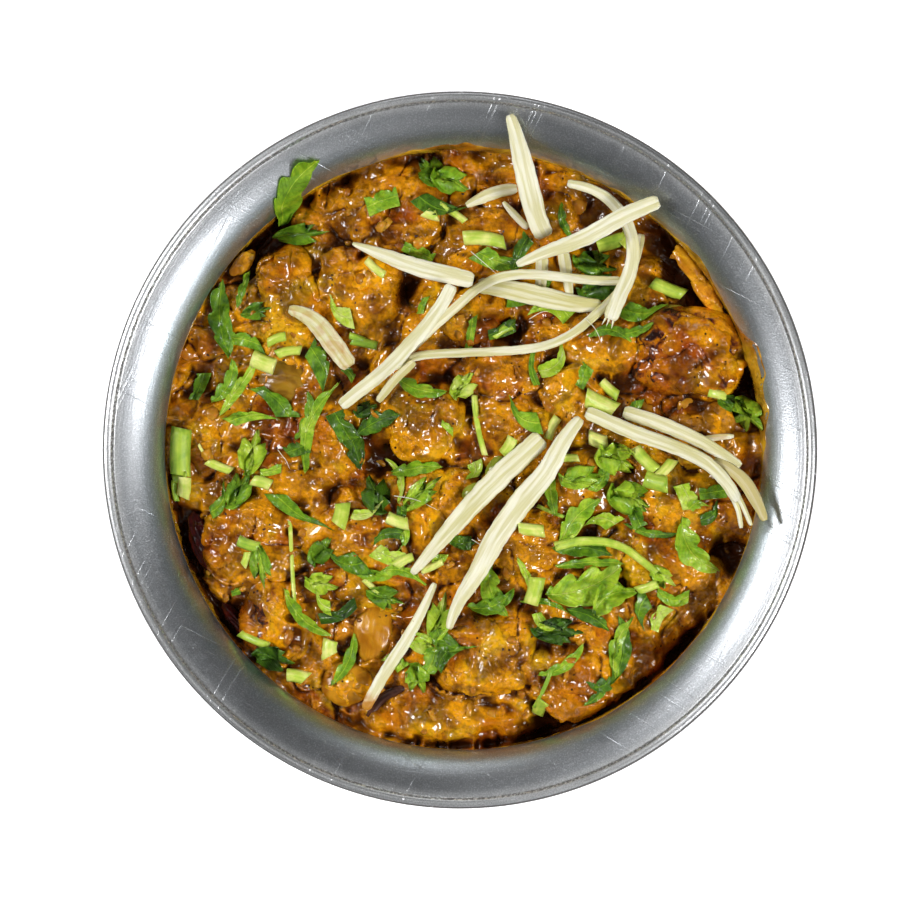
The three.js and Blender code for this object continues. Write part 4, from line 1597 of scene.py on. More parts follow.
GINGER = [
    Strip([(18.3, 43.8), (18.1, 40), (17.8, 35.7)], (2.6, 2.8, 2.4), 0.35, 0.1),
    Strip([(23, 44.7), (23.6, 39.5), (24.5, 34.4)], (2.9, 2.6, 1.6), 0.35, 0.1),
    Strip([(1.1, 55.2), (5.3, 57.4), (9.3, 59), (12.4, 59.2)], (1.6, 2.8, 2.2), 0.3, 0.15),
    Strip([(9.4, 56), (12, 52.9), (15, 50)], (1, 1.7, 1.4), 0.25, 0.1),
    Strip(
        [(11.8, 74.6), (13.6, 69.2), (14.5, 64), (15.5, 60.7), (16.5, 55), (17.3, 50.7), (19, 48)],
        (2.2, 4.6, 4.2), 0.12
    ),
    Strip(
        [(4, 37.1), (10.5, 36.2), (18.3, 34.4), (23.5, 33.3), (28.5, 32.4), (31.5, 32.6)],
        (3.4, 4.6, 2.6), 0.5, 0.1
    ),
    Strip(
        [(-11.7, 21.9), (-6.7, 27.2), (-0.5, 32.4), (4.4, 36.8), (10.5, 39.3), (20.7, 39.1),
         (28.5, 38.2), (36.1, 38)],
        (1.9, 2.2, 2), 0.3
    ),
    Strip(
        [(-24, 46.4), (-18, 44.2), (-10, 41.1), (-2.5, 39.3), (3.4, 38)], (0.9, 4, 3.4), 0.15
    ),
    Strip(
        [(-27, 10), (-20.4, 15.2), (-14, 20.3), (-9, 25.9), (-3.8, 31.9), (-1.2, 36.8)],
        (2.8, 3.2, 2.8), 0.15
    ),
    Strip([(-10, 19.9), (-14, 16.5), (-16.8, 13.8), (-18.6, 10.9)], (1.8, 2.1, 1.6), 0.6, 0.2),
    Strip(
        [(40.5, 48.7), (39.5, 43), (36, 35.7), (32, 32), (28.5, 28.6), (23.5, 25), (18.3, 23.2),
         (10.5, 22.3), (-2.3, 21.7), (-11.5, 20.8), (-15.2, 18.3)],
        (1.8, 2.1, 1.8), 0.35
    ),
    Strip(
        [(24.3, 59.8), (30.6, 58.3), (35, 54.9), (37.7, 51.1), (39, 46.2), (38.8, 41.1),
         (37, 37.1), (34.8, 32.4), (33.7, 29.3)],
        (2, 2.8, 3.6), 0.15, cut=Cut.FRAYED
    ),
    Strip(
        [(45, 55.2), (37.3, 52.3), (28, 47.3), (20, 44.7), (13, 41.5)], (3.2, 3.8, 1.6), 0.18
    ),
    Strip(
        [(-38.7, 31.7), (-33, 30.1), (-30.6, 25.9), (-26.8, 21.4), (-25.3, 18.8)],
        (2.2, 4.4, 3.8), 0.5, 0.42
    ),
    Strip([(18.5, 2.7), (8, -6.7), (-2.3, -17.9), (-11.2, -27.9)], (4.2, 4.8, 1.6), 0.3),
    Strip(
        [(27.2, 7.1), (23.4, 2.5), (19.6, -5.4), (15.6, -9.4), (11.8, -14.5), (8, -19.7),
         (4.2, -27.2), (-0.9, -34.8), (-2.5, -40.2)],
        (2.4, 5.2, 1.6), 0.15
    ),
    Strip([(53.1, 2), (57.3, 3), (61.4, 3.1)], (1.4, 1.5, 1), 0.4, 0.4),
    Strip(
        [(57.1, -2.2), (62, -4.5), (65, -8.5), (67.2, -12.1), (68.5, -15.6)],
        (1.6, 3, 1.6), 0.75, 0.1
    ),
    Strip([(36.6, 8.7), (43.9, 6.3), (51.8, 3.1), (57, 0.4), (63, -3.6)], (3, 3.2, 2), 0.3, 0.05),
    Strip(
        [(28.5, 8.5), (38.8, 4), (46.6, 1.3), (54.2, -1.8), (58.2, -4.9), (61.4, -9.4),
         (64, -14.5), (64.3, -17)],
        (3, 3.2, 2), 0.3, cut=Cut.FORKED
    ),
    Strip(
        [(-6.1, -30.1), (-10.1, -38.9), (-14, -45.3), (-18, -51.4), (-21.7, -58.5)],
        (1.4, 2.8, 2.4), 0.15, 0.0, 0.8
    ),
]
HAIRS = [
    [(2.5, 44.6), (5.5, 42), (8.3, 39.5)],
    [(-15, -10.3), (-10, -11.2), (-5.2, -13.4)],
    [(15.2, 29.5), (19, 31.2), (22.5, 30)],
    [(28.2, 29.5), (30.5, 27), (31.8, 24.2)],
    [(-41.6, 0), (-39.5, -2.4), (-38.8, -4.2)],
    [(2.4, -20.1), (6, -22), (9.6, -22.4)],
]


@dataclass(frozen=True)
class Ginger:
    """The julienne: strips swept along the solids' own runs and heights."""

    share: float = 0.45
    thickest: float = 1.5
    station: float = 0.75
    size: int = 22
    tine: float = 6.5

    @staticmethod
    def heights(node: str, places: Array) -> Array:
        """Tops of a solid at places seen from above, smoothed over its facets.

        Args:
            node: the solid's name.
            places: stations (n, 2) in millimetres.

        Returns:
            Heights (n,) in millimetres.
        """
        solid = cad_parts[node]
        corners = [tuple(vertex.co) for vertex in solid.data.vertices]
        faces = [tuple(polygon.vertices) for polygon in solid.data.polygons]
        tree = BVHTree.FromPolygons(corners, faces)
        hits = [
            tree.ray_cast(Vector((x * MM, y * MM, 0.1)), Vector((0, 0, -1)))[0] for x, y in places
        ]
        found = np.array([hit is not None for hit in hits])
        tops = np.array([hit.z / MM for hit in hits if hit is not None])
        index = np.arange(len(places))
        tops = np.interp(index, index[found], tops)
        mean = box_mean(tops, 3)
        mean[[0, -1]] = tops[[0, -1]]
        return mean

    def ribbon(self, middle: Array, half: Array, thick: float, strip: Strip, seed: int) -> Patch:
        """One strip or tine: a rounded oblong with nicked edges and rounded ends.

        Args:
            middle: centres (n, 3).
            half: half widths (n,).
            thick: whole thickness.
            strip: for its age and stain.
            seed: picks the nicks.

        Returns:
            The closed strip with its values "stain" and "age".
        """
        count = len(middle)
        run = np.linspace(0, 1, count)
        length = self.station * (count - 1)
        turn = full_turn(self.size)
        where = stacked(run[:, None] * length, 9 * np.sign(np.cos(turn)), seed * 7.0)
        nick = 1 + 0.03 * cloud(where, 7.0, seed, 1) + 0.06 * cloud(where, 1.2, seed + 1, 2)
        end = np.clip(np.minimum(run, 1 - run) * length / 0.7, 0, 1)
        round_end = 0.7 + 0.3 * np.sqrt(1 - (1 - end) ** 2)
        wide = half[:, None] * nick * round_end[:, None]
        line = stacked(run * length, 0, seed)
        roll = 0.12 * cloud(line, 14.0, seed + 3, 1)
        tall = 0.4 * thick * (0.7 + 0.3 * round_end) * (1 + 0.12 * cloud(line, 4.0, seed + 4, 2))
        rings, uv = swept(middle, wide, tall, 3.0, self.size, roll)
        uv[..., 1] /= (nick * round_end[:, None])[:, ::-1]
        furrow = 0.08 * cloud(stacked(0.12 * uv[..., 0], uv[..., 1], 0), 0.7, seed, 2)
        rings[..., 2] += np.where(rings[..., 2] > middle[:, None, 2], furrow, 0)
        body = lofted(rings, uv=uv)
        along = np.concatenate([np.repeat(run, self.size), [0.0, 1.0]])
        stain = strip.stain + strip.stain_end * smooth_step(0.7, 1.0, along)
        body.values = {"stain": stain, "age": strip.age + 0 * along}
        return body

    @staticmethod
    def lanes(flat: Array, half: Array, finer: int) -> Array:
        """Places (n, 9, 2) over a strip's width, at `finer` times as many stations."""
        index = np.linspace(0, len(flat) - 1, finer * (len(flat) - 1) + 1)
        old = np.arange(len(flat))
        fine = stacked(*(np.interp(index, old, flat[:, k]) for k in (0, 1)))
        run = headings(fine)
        side = stacked(-run[:, 1], run[:, 0]) * np.interp(index, old, half)[:, None]
        return fine[:, None] + side[:, None] * np.linspace(-0.9, 0.9, 9)[:, None]

    def rested(
        self, flat: Array, half: Array, tops: Array, thick: float, ground: Ground
    ) -> Array:
        """Lifts a strip's line until it lies on what is under it, and keeps it smooth.

        Args:
            flat, half: the strip's stations seen from above, and its half widths.
            tops: heights of its solid's upper side.
            thick: its thickness.
            ground: its stack is what the strip lies on.

        Returns:
            The heights of its upper side.
        """
        lanes = self.lanes(flat, half, 1)
        need = ground.stack.at(lanes[..., 0], lanes[..., 1]).max(axis=1) + 0.6 * thick
        line = np.maximum(tops, need)
        line = evened(line[:, None], 6)[:, 0]
        return line + max(0.0, np.max(need - line) - 0.3)

    def build(self, number: int, strip: Strip, ground: Ground) -> Patch:
        """A strip at its solid's heights, with its end forked or frayed where it is.

        Args:
            number: which solid.
            strip: its run, widths and looks.
            ground: takes note of the strip's underside.

        Returns:
            The closed strip and any tines as one patch.
        """
        count = max(8, int(lengths(np.array(strip.path))[-1] / self.station))
        flat = evened(spline(strip.path, count), 6)
        first, mid, last = strip.width
        t = np.linspace(0, 1, count)
        half = 0.5 * (first * (1 - t) + last * t + (4 * mid - 2 * (first + last)) * t * (1 - t))
        thick = min(self.share * max(strip.width), self.thickest)
        places = flat.copy()
        places[[0, -1]] += 0.02 * (flat.mean(axis=0) - flat[[0, -1]])
        tops = self.heights(f"ginger_{number:02d}", places)
        tops = self.rested(flat, half, tops, thick, ground)
        middle = stacked(*flat.T, tops - 0.5 * thick)
        lanes = self.lanes(flat, half, 2)
        above = np.repeat(np.interp(np.arange(len(lanes)) / 2, np.arange(count), tops), 9)
        cover = stacked(*lanes.reshape(-1, 2).T, above)
        ground.stack.raised(cover)
        ground.roof.raised(cover - [0, 0, 0.9 * thick], lowest=True)
        split = int(self.tine / self.station) if strip.cut is Cut.FORKED else 0
        body = slice(0, count - split)
        patches = [self.ribbon(middle[body], half[body], thick, strip, 10 * number)]
        run = headings(flat)
        side = stacked(-run[:, 1], run[:, 0], 0)
        if strip.cut is Cut.FORKED:
            tip = slice(count - split - 3, count)
            s = np.linspace(0, 1, split + 3)[:, None]
            for k, way in enumerate((-1, 1)):
                apart = side[tip] * way * (0.46 * half[tip, None] + 0.7 * s**2)
                tine = self.ribbon(
                    middle[tip] + apart, 0.5 * half[tip], 0.8 * thick, strip, 10 * number + k + 1
                )
                patches.append(tine)
        if strip.cut is Cut.FRAYED:
            for k, way in enumerate((-1.0, -0.2, 0.8)):
                s = np.linspace(0, 1, 9)[:, None]
                tail = middle[-1] + np.append(run[-1], 0) * s * 1.8 + side[-1] * way * (1 + 0.3 * s)
                thin = 0.26 * (1.1 - s[:, 0])
                patches.append(self.ribbon(tail, thin, 0.3, strip, 10 * number + 5 + k))
        return joined(patches)

    def hairs(self, ground: Ground) -> Patch:
        """Loose fibres, each a thin tube that clears what it crosses by an arch."""
        patches = []
        for path in HAIRS:
            flat = spline(path, 16)
            s = np.linspace(0, 1, 16)
            z = ground.food.at(flat[:, 0], flat[:, 1])
            z = np.maximum(z, z.max() - 1.5) + 0.5 + 0.8 * np.sin(math.pi * s)
            middle = stacked(*flat.T, z)
            radius = 0.11 * (1.05 - 0.6 * s)
            rings, uv = swept(middle, radius, radius, 2.0, 5)
            body = lofted(rings, uv=uv)
            none = np.zeros(len(body.points))
            body.values = {"stain": none, "age": none + 0.1}
            patches.append(body)
        return joined(patches)

    def dress(self, ground: Ground) -> None:
        """Makes the strips, each over its solid, and the loose fibres."""
        finish = GingerFinish().build()
        solids = [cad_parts[f"ginger_{i + 1:02d}"] for i in range(len(GINGER))]
        levels = [np.mean([corner[2] for corner in solid.bound_box]) for solid in solids]
        for i in np.argsort(levels):
            name = f"ginger_{i + 1:02d}"
            form = self.build(i + 1, GINGER[i], ground)
            make_piece(f"{name}_strip", form, finish, "ginger", name)
        make_piece("ginger_fibres", self.hairs(ground), finish, "ginger")


@dataclass(frozen=True)
class Spice:
    """A curved whole spice lying near the wall, ridged along its length."""

    path: tuple[tuple[float, float], ...] = (
        (-21.4, -60.4), (-18.6, -56.6), (-15.2, -54.6), (-12.6, -53.8)
    )
    radius: float = 1.15

    def build(self, ground: Ground) -> Patch:
        """A tube tapered at both ends, its radius swelled by ridges."""
        flat = spline(list(self.path), 34)
        within = 0.97 * (flat - flat.mean(axis=0)) + flat.mean(axis=0)
        tops = Ginger.heights("spice_stick", within)
        middle = stacked(*flat.T, tops - self.radius)
        s = np.linspace(-1, 1, 34)
        radius = self.radius * np.clip(1 - np.abs(s) ** 5, 0.25, 1) ** 0.5
        ridged = radius[:, None] * (1 + 0.05 * np.cos(5 * full_turn(20)))
        rings, uv = swept(middle, ridged, radius, 2.0, 20)
        body = lofted(rings, uv=uv)
        body.values = {"deep": 0.5 * ground.depth(body.points)}
        return body

    def dress(self, ground: Ground) -> None:
        """Makes the spice over its solid."""
        bark, furrow = rgb(0.10, 0.035, 0.02), rgb(0.018, 0.008, 0.007)
        finish = SoftFinish("spice_bark", bark, furrow, 0.1, 0.0)
        make_piece("spice_bark", self.build(ground), finish.build(), "spice", "spice_stick")


class Leaf(Enum):
    """The shapes that chopped coriander leaves take."""

    FRILL = "frill"
    BLADE = "blade"
    CHOP = "chop"


# Each leaf: x, y, heading in degrees, length, width, tone from dark to lime, and curl.
LEAVES = {
    Leaf.FRILL: [
        (-36.8, 48.9, 5, 12.5, 5.4, 0.42, 0.3), (-6.7, 63.4, 140, 7.6, 5.8, 0.38, 0.5),
        (-2.2, 61, -35, 8.9, 6.7, 0.55, 0.6), (-46.7, 31.5, 10, 7.1, 4.5, 0.4, 0.4),
        (-21.7, 9.6, 15, 5.4, 3.1, 0.15, 0.6), (0.9, 14.5, 60, 7.1, 5.8, 0.85, 0.3),
        (-47.8, -0.4, 75, 10.3, 7.1, 0.7, 0.5), (-50.5, -8.7, 55, 9.8, 6.3, 0.48, 0.5),
        (-19.2, -9.8, 120, 9.4, 6.7, 0.2, 0.7), (-8.9, -9.6, 38, 11.2, 5.8, 0.66, 0.3),
        (-45.3, -26.1, -80, 9.8, 5.4, 0.55, 0.3), (-31.3, -23, 60, 7.6, 4.9, 0.4, 0.6),
        (-31.7, -30.1, -20, 7.6, 5.4, 0.72, 0.4), (-17.4, -33.3, -20, 8.5, 5.8, 0.42, 0.3),
        (-42.6, -47.3, -10, 9.4, 6.3, 0.25, 0.8), (-4.7, -38, 80, 11.2, 6.7, 0.74, 0.3),
        (-8.3, -43.5, -30, 7.6, 4.5, 0.8, 0.6), (-10, -51.6, -60, 7.1, 6.3, 0.6, 0.7),
        (30.2, 42.2, -20, 9.8, 6.3, 0.36, 0.4), (31.5, 37.1, 5, 10.7, 5.8, 0.3, 0.4),
        (61, 10.5, -20, 6.3, 4, 0.38, 0.4), (64.5, 7.8, -42, 9.4, 6.7, 0.6, 0.5),
        (35.3, -1.8, -40, 8.9, 7.6, 0.7, 0.9), (38.4, -10.5, -35, 9.8, 7.6, 0.6, 0.5),
        (27.7, -5.6, -4, 10.3, 4.9, 0.6, 0.2), (45.3, -28.6, -30, 7.1, 4.5, 0.76, 0.4),
        (21.9, -40.6, -5, 11.2, 6.7, 0.22, 0.5),
    ],
    Leaf.BLADE: [
        (-36.8, 57.6, 55, 14.7, 4.9, 0.5, 0.3), (-53.8, 29.5, 97, 14.7, 4.9, 0.42, 0.5),
        (-49.8, 36.2, 72, 7.6, 1.8, 0.5, 0.2), (-54.9, 15.4, 62, 9.4, 3.6, 0.5, 0.3),
        (-51.1, 13.8, 55, 13.4, 2.5, 0.72, 0.2), (-36.4, 7.4, 76, 9.8, 3.1, 0.5, 0.2),
        (-31.7, 4.5, 70, 18.8, 2.9, 0.6, 0.3), (-19, 5.8, 25, 9.4, 4.2, 0.22, 0.5),
        (-25, 0.9, 110, 10.3, 4, 0.18, 0.5), (-9.4, 15, -18, 10.7, 3.3, 0.52, 0.3),
        (-15.8, -7.4, 110, 9.4, 1.8, 0.85, 0.3), (-10.7, -4.5, 8, 10.7, 3.1, 0.55, 0.3),
        (-35.1, -36.4, -46, 13, 2.5, 0.62, 0.3), (-21, -25.9, -25, 9.8, 3.1, 0.62, 0.3),
        (-14.3, -29.3, -12, 10.3, 2.5, 0.66, 0.3), (-27.2, -47.8, 66, 11.2, 2.7, 0.55, 0.3),
        (23.7, 52, -72, 7.6, 1.8, 0.35, 0.2), (38.4, 27.2, 14, 8.5, 2.2, 0.45, 0.2),
        (33.3, 25, -8, 8.5, 2.5, 0.4, 0.2), (21, -9.6, 95, 9.4, 2.7, 0.6, 0.3),
        (26.8, -15.9, 48, 11.2, 4.5, 0.62, 0.4), (42.4, -17.6, -10, 10.7, 1.8, 0.34, 0.2),
        (53.6, -20.8, -58, 12.5, 5.6, 0.66, 0.4), (27, -22.8, -5, 11.2, 4, 0.34, 0.4),
        (27.2, -29.5, 20, 15.6, 7.6, 0.66, 0.6), (28.6, -25.9, 3, 13.4, 2.2, 0.55, 0.3),
        (14.3, -28.1, -70, 7.6, 1.6, 0.78, 0.4), (18.5, -35.3, -12, 9.8, 1.3, 0.45, 0.2),
        (34.4, -34.6, 30, 9.4, 5.8, 0.7, 0.7), (28.6, -38, -25, 8.9, 3.1, 0.3, 0.3),
        (34.6, -45.6, 82, 13.8, 3.3, 0.35, 0.4), (36.8, -44.7, 74, 12.5, 2.9, 0.6, 0.4),
        (30.6, -54.3, 48, 7.6, 1.8, 0.4, 0.3), (22.3, -47.3, 35, 10.7, 2.5, 0.6, 0.3),
        (8, -31, -70, 11.2, 4.5, 0.58, 0.8), (6.3, -33.5, 20, 9.8, 3.6, 0.48, 0.5),
    ],
    Leaf.CHOP: [
        (-17.6, 56, 20, 6.7, 4.2, 0.62, 0.1), (-3.3, 56.3, -8, 10.7, 2.9, 0.3, 0.2),
        (-9.6, 44.4, -25, 6.3, 3.3, 0.6, 0.3), (-26.8, 31.9, -42, 5.8, 2.7, 0.88, 0.2),
        (-8.5, 32.6, 70, 3.6, 1.6, 0.55, 0.1), (-49.1, 24.6, -15, 6.3, 3.1, 0.48, 0.3),
        (-60.5, 14.5, 70, 5.8, 3.3, 0.4, 0.6), (-32.4, 19.9, -60, 7.1, 4.5, 0.38, 0.4),
        (-25.7, 17.4, -50, 3.1, 1.8, 0.45, 0.2), (-43.1, 10.9, -42, 8.9, 3.8, 0.38, 0.3),
        (-26.8, 5.4, -60, 6.3, 4, 0.35, 0.2), (-55.6, -11.4, 60, 5.8, 2.7, 0.45, 0.3),
        (-48.7, 7.1, 10, 8, 2.7, 0.6, 0.3), (-43.1, -4.5, 15, 4.5, 2.2, 0.62, 0.2),
        (-37.1, -13.4, -35, 10.7, 2.9, 0.42, 0.3), (-37.7, 0.2, 20, 3.8, 3.6, 0.33, 0.2),
        (-21.2, -13.2, 20, 6.3, 2, 0.9, 0.2), (-16.5, -19.7, 15, 5.8, 2.2, 0.28, 0.4),
        (-13.4, -20.3, 80, 3.6, 1.6, 0.6, 0.1), (-26.1, -23.9, -20, 7.6, 3.1, 0.35, 0.4),
        (-16.5, -23.7, -20, 5.8, 3.8, 0.84, 0.2), (-28.1, -36.2, 25, 8, 2.7, 0.12, 0.8),
        (-31.3, -33.9, -50, 4.5, 1.8, 0.8, 0.3), (-6.7, -25, 35, 4.5, 1.8, 0.7, 0.2),
        (-15.2, -48, -30, 4.5, 3.1, 0.7, 0.3), (-6.9, -47.3, 70, 5.8, 4.5, 0.5, 0.7),
        (-2.7, -46.4, 50, 6.7, 3.1, 0.3, 0.5), (-1.6, -42.4, -30, 7.6, 3.6, 0.45, 0.4),
        (-0.4, -20.3, -25, 5.4, 2.7, 0.35, 0.4), (2.5, -4.5, 80, 3.3, 2.7, 0.82, 0.2),
        (-0.2, -20.3, -10, 4.5, 3.1, 0.38, 0.3), (8.3, 42.7, -22, 8, 3.8, 0.58, 0.4),
        (13.4, 44.2, 65, 7.6, 3.1, 0.36, 0.3), (20.1, 30.8, -12, 8, 3.3, 0.72, 0.5),
        (15.2, 35.7, 20, 8.9, 3.6, 0.5, 0.3), (40.4, 31.7, -5, 6.7, 4, 0.46, 0.3),
        (16.8, 18.3, -82, 6.7, 1.6, 0.45, 0.1), (20.3, 20.3, 42, 6.7, 3.3, 0.8, 0.2),
        (27.7, 16.5, 70, 4.7, 3.1, 0.52, 0.2), (38.9, 9.4, 70, 3.3, 2.7, 0.52, 0.3),
        (14.7, 8.7, -38, 7.6, 2.7, 0.52, 0.3), (2.2, 26.3, 80, 6.3, 1.8, 0.5, 0.2),
        (9.2, 27.2, 25, 5.8, 3.1, 0.22, 0.3),
        (31.7, -16.3, -8, 5.4, 2.9, 0.72, 0.3),
        (38.9, -14.5, -60, 5.8, 3.3, 0.4, 0.4), (50.9, -10.5, -65, 5.4, 3.8, 0.8, 0.3),
        (56.7, -9.4, 8, 5.4, 3.1, 0.4, 0.2), (55.8, -14.1, 40, 4.5, 2.7, 0.22, 0.4),
        (47.8, -32.2, -10, 6.3, 2.9, 0.62, 0.4), (19.4, -38.6, -40, 5.4, 2.5, 0.72, 0.6),
        (41.5, -36.6, 84, 6.7, 2.5, 0.42, 0.3), (44.9, -38, 62, 5.4, 3.1, 0.9, 0.2),
        (31, -52.3, 5, 3.8, 2.7, 0.36, 0.3), (53.2, -12.5, 20, 3.1, 2, 0.6, 0.2),
        (-51.4, -32.2, 20, 2, 1.6, 0.4, 0.1), (-14.7, -14.7, 60, 4.5, 2, 0.3, 0.3),
        (-2.9, 5.1, -40, 2.9, 1.6, 0.62, 0.2), (30.8, -6.7, 60, 4.9, 2.2, 0.5, 0.2),
    ],
}
# Each cut stem: x, y, heading, length, width and tone.
STEMS = [
    (-6.5, 53.1, -15, 2.9, 2.2, 0.92), (-1.1, 52.9, -35, 4.9, 1.6, 0.85),
    (-2.7, 54.3, -30, 4.5, 1.3, 0.75), (-19, 41.1, -40, 5.4, 1.8, 0.9),
    (-45.1, 19.9, -22, 5.6, 3.6, 0.97), (-39.3, 22.1, 10, 5.6, 2, 0.8),
    (-42, 25, 20, 4.5, 2, 0.72), (-21.9, 24.1, -12, 5.8, 2, 0.55),
    (-23.4, 25.2, -20, 4, 1.6, 0.6), (-63.9, -0.4, 88, 10.7, 4.5, 0.66),
    (-64.3, -6.3, 10, 3.6, 2, 0.6), (-63.4, -8.5, 80, 4.7, 2.9, 0.95),
    (-65.6, -9.4, 95, 4.5, 1.3, 0.6), (-55.2, -3.6, -22, 6, 2, 0.92),
    (-45.1, -7.4, -15, 4.5, 2.5, 0.9), (-27.2, -14.5, 80, 5.1, 3.3, 0.78),
    (-14.3, -15.9, -18, 4.9, 2.7, 0.93), (-48, -21.2, -18, 4.9, 2.5, 0.62),
    (-48.7, -24.6, 70, 3.3, 1.6, 0.85), (-12.9, -25.2, 28, 4.5, 2, 0.8),
    (-20.5, -30.8, -42, 4.5, 1.3, 0.85), (-6.7, -26.1, 25, 5.4, 1.8, 0.88),
    (-46.9, -42.9, -22, 7.6, 1.8, 0.72), (-29.9, -44.9, 85, 3.8, 3.3, 0.9),
    (-37.5, -51.4, -10, 4.5, 2.9, 0.86), (5.4, 47.1, -6, 9.2, 3.1, 0.9),
    (33.3, 46.9, 15, 5.8, 3.1, 0.72), (36.8, 47.6, 60, 3.1, 2.7, 0.8),
    (46.5, 36.4, -22, 7.6, 2.9, 0.74), (33.5, 13.8, -42, 4.9, 2.2, 0.82),
    (31.5, 10.3, -26, 6.9, 4, 0.9), (57.8, 12.5, -12, 4, 2, 0.85),
    (20.8, 4.9, 66, 5.4, 2, 0.84), (10.7, 0.9, 58, 4.5, 2.5, 0.86),
    (31, 2.2, -20, 4.5, 3.1, 0.97), (41.5, -2, -46, 7.1, 2.7, 0.78),
    (46, -4.2, 48, 5.4, 2.2, 0.88), (44, -7.1, -14, 5.4, 3.6, 0.7),
    (24.6, -2, 5, 4, 1.8, 0.9), (9.2, 26.8, 30, 4.9, 2, 0.65),
    (16.1, -17.9, -6, 5.8, 2.7, 0.88), (42, -30.8, 20, 4.9, 2, 0.8),
    (16.5, -31.7, 74, 6.3, 3.3, 0.82), (17.9, -58.1, 60, 3.8, 2.7, 0.76),
]
THREADS = [
    (-58.9, -0.2, -55, 3.6, 0.7, 0.95), (-38.2, -27, -86, 21.9, 0.9, 0.8),
    (4.2, 5.6, -80, 13.8, 1.3, 0.82), (18.5, -53.6, 65, 9.8, 0.9, 0.6),
    (20.3, -13.8, -22, 6.7, 0.9, 0.7), (26.4, -17.2, 60, 6.3, 0.9, 0.75),
]
RUNNER = [
    (21.3, -21.7), (25.5, -20.7), (29.9, -20.5), (34, -21), (37.3, -22.3), (41, -25), (44.2, -27.5)
]


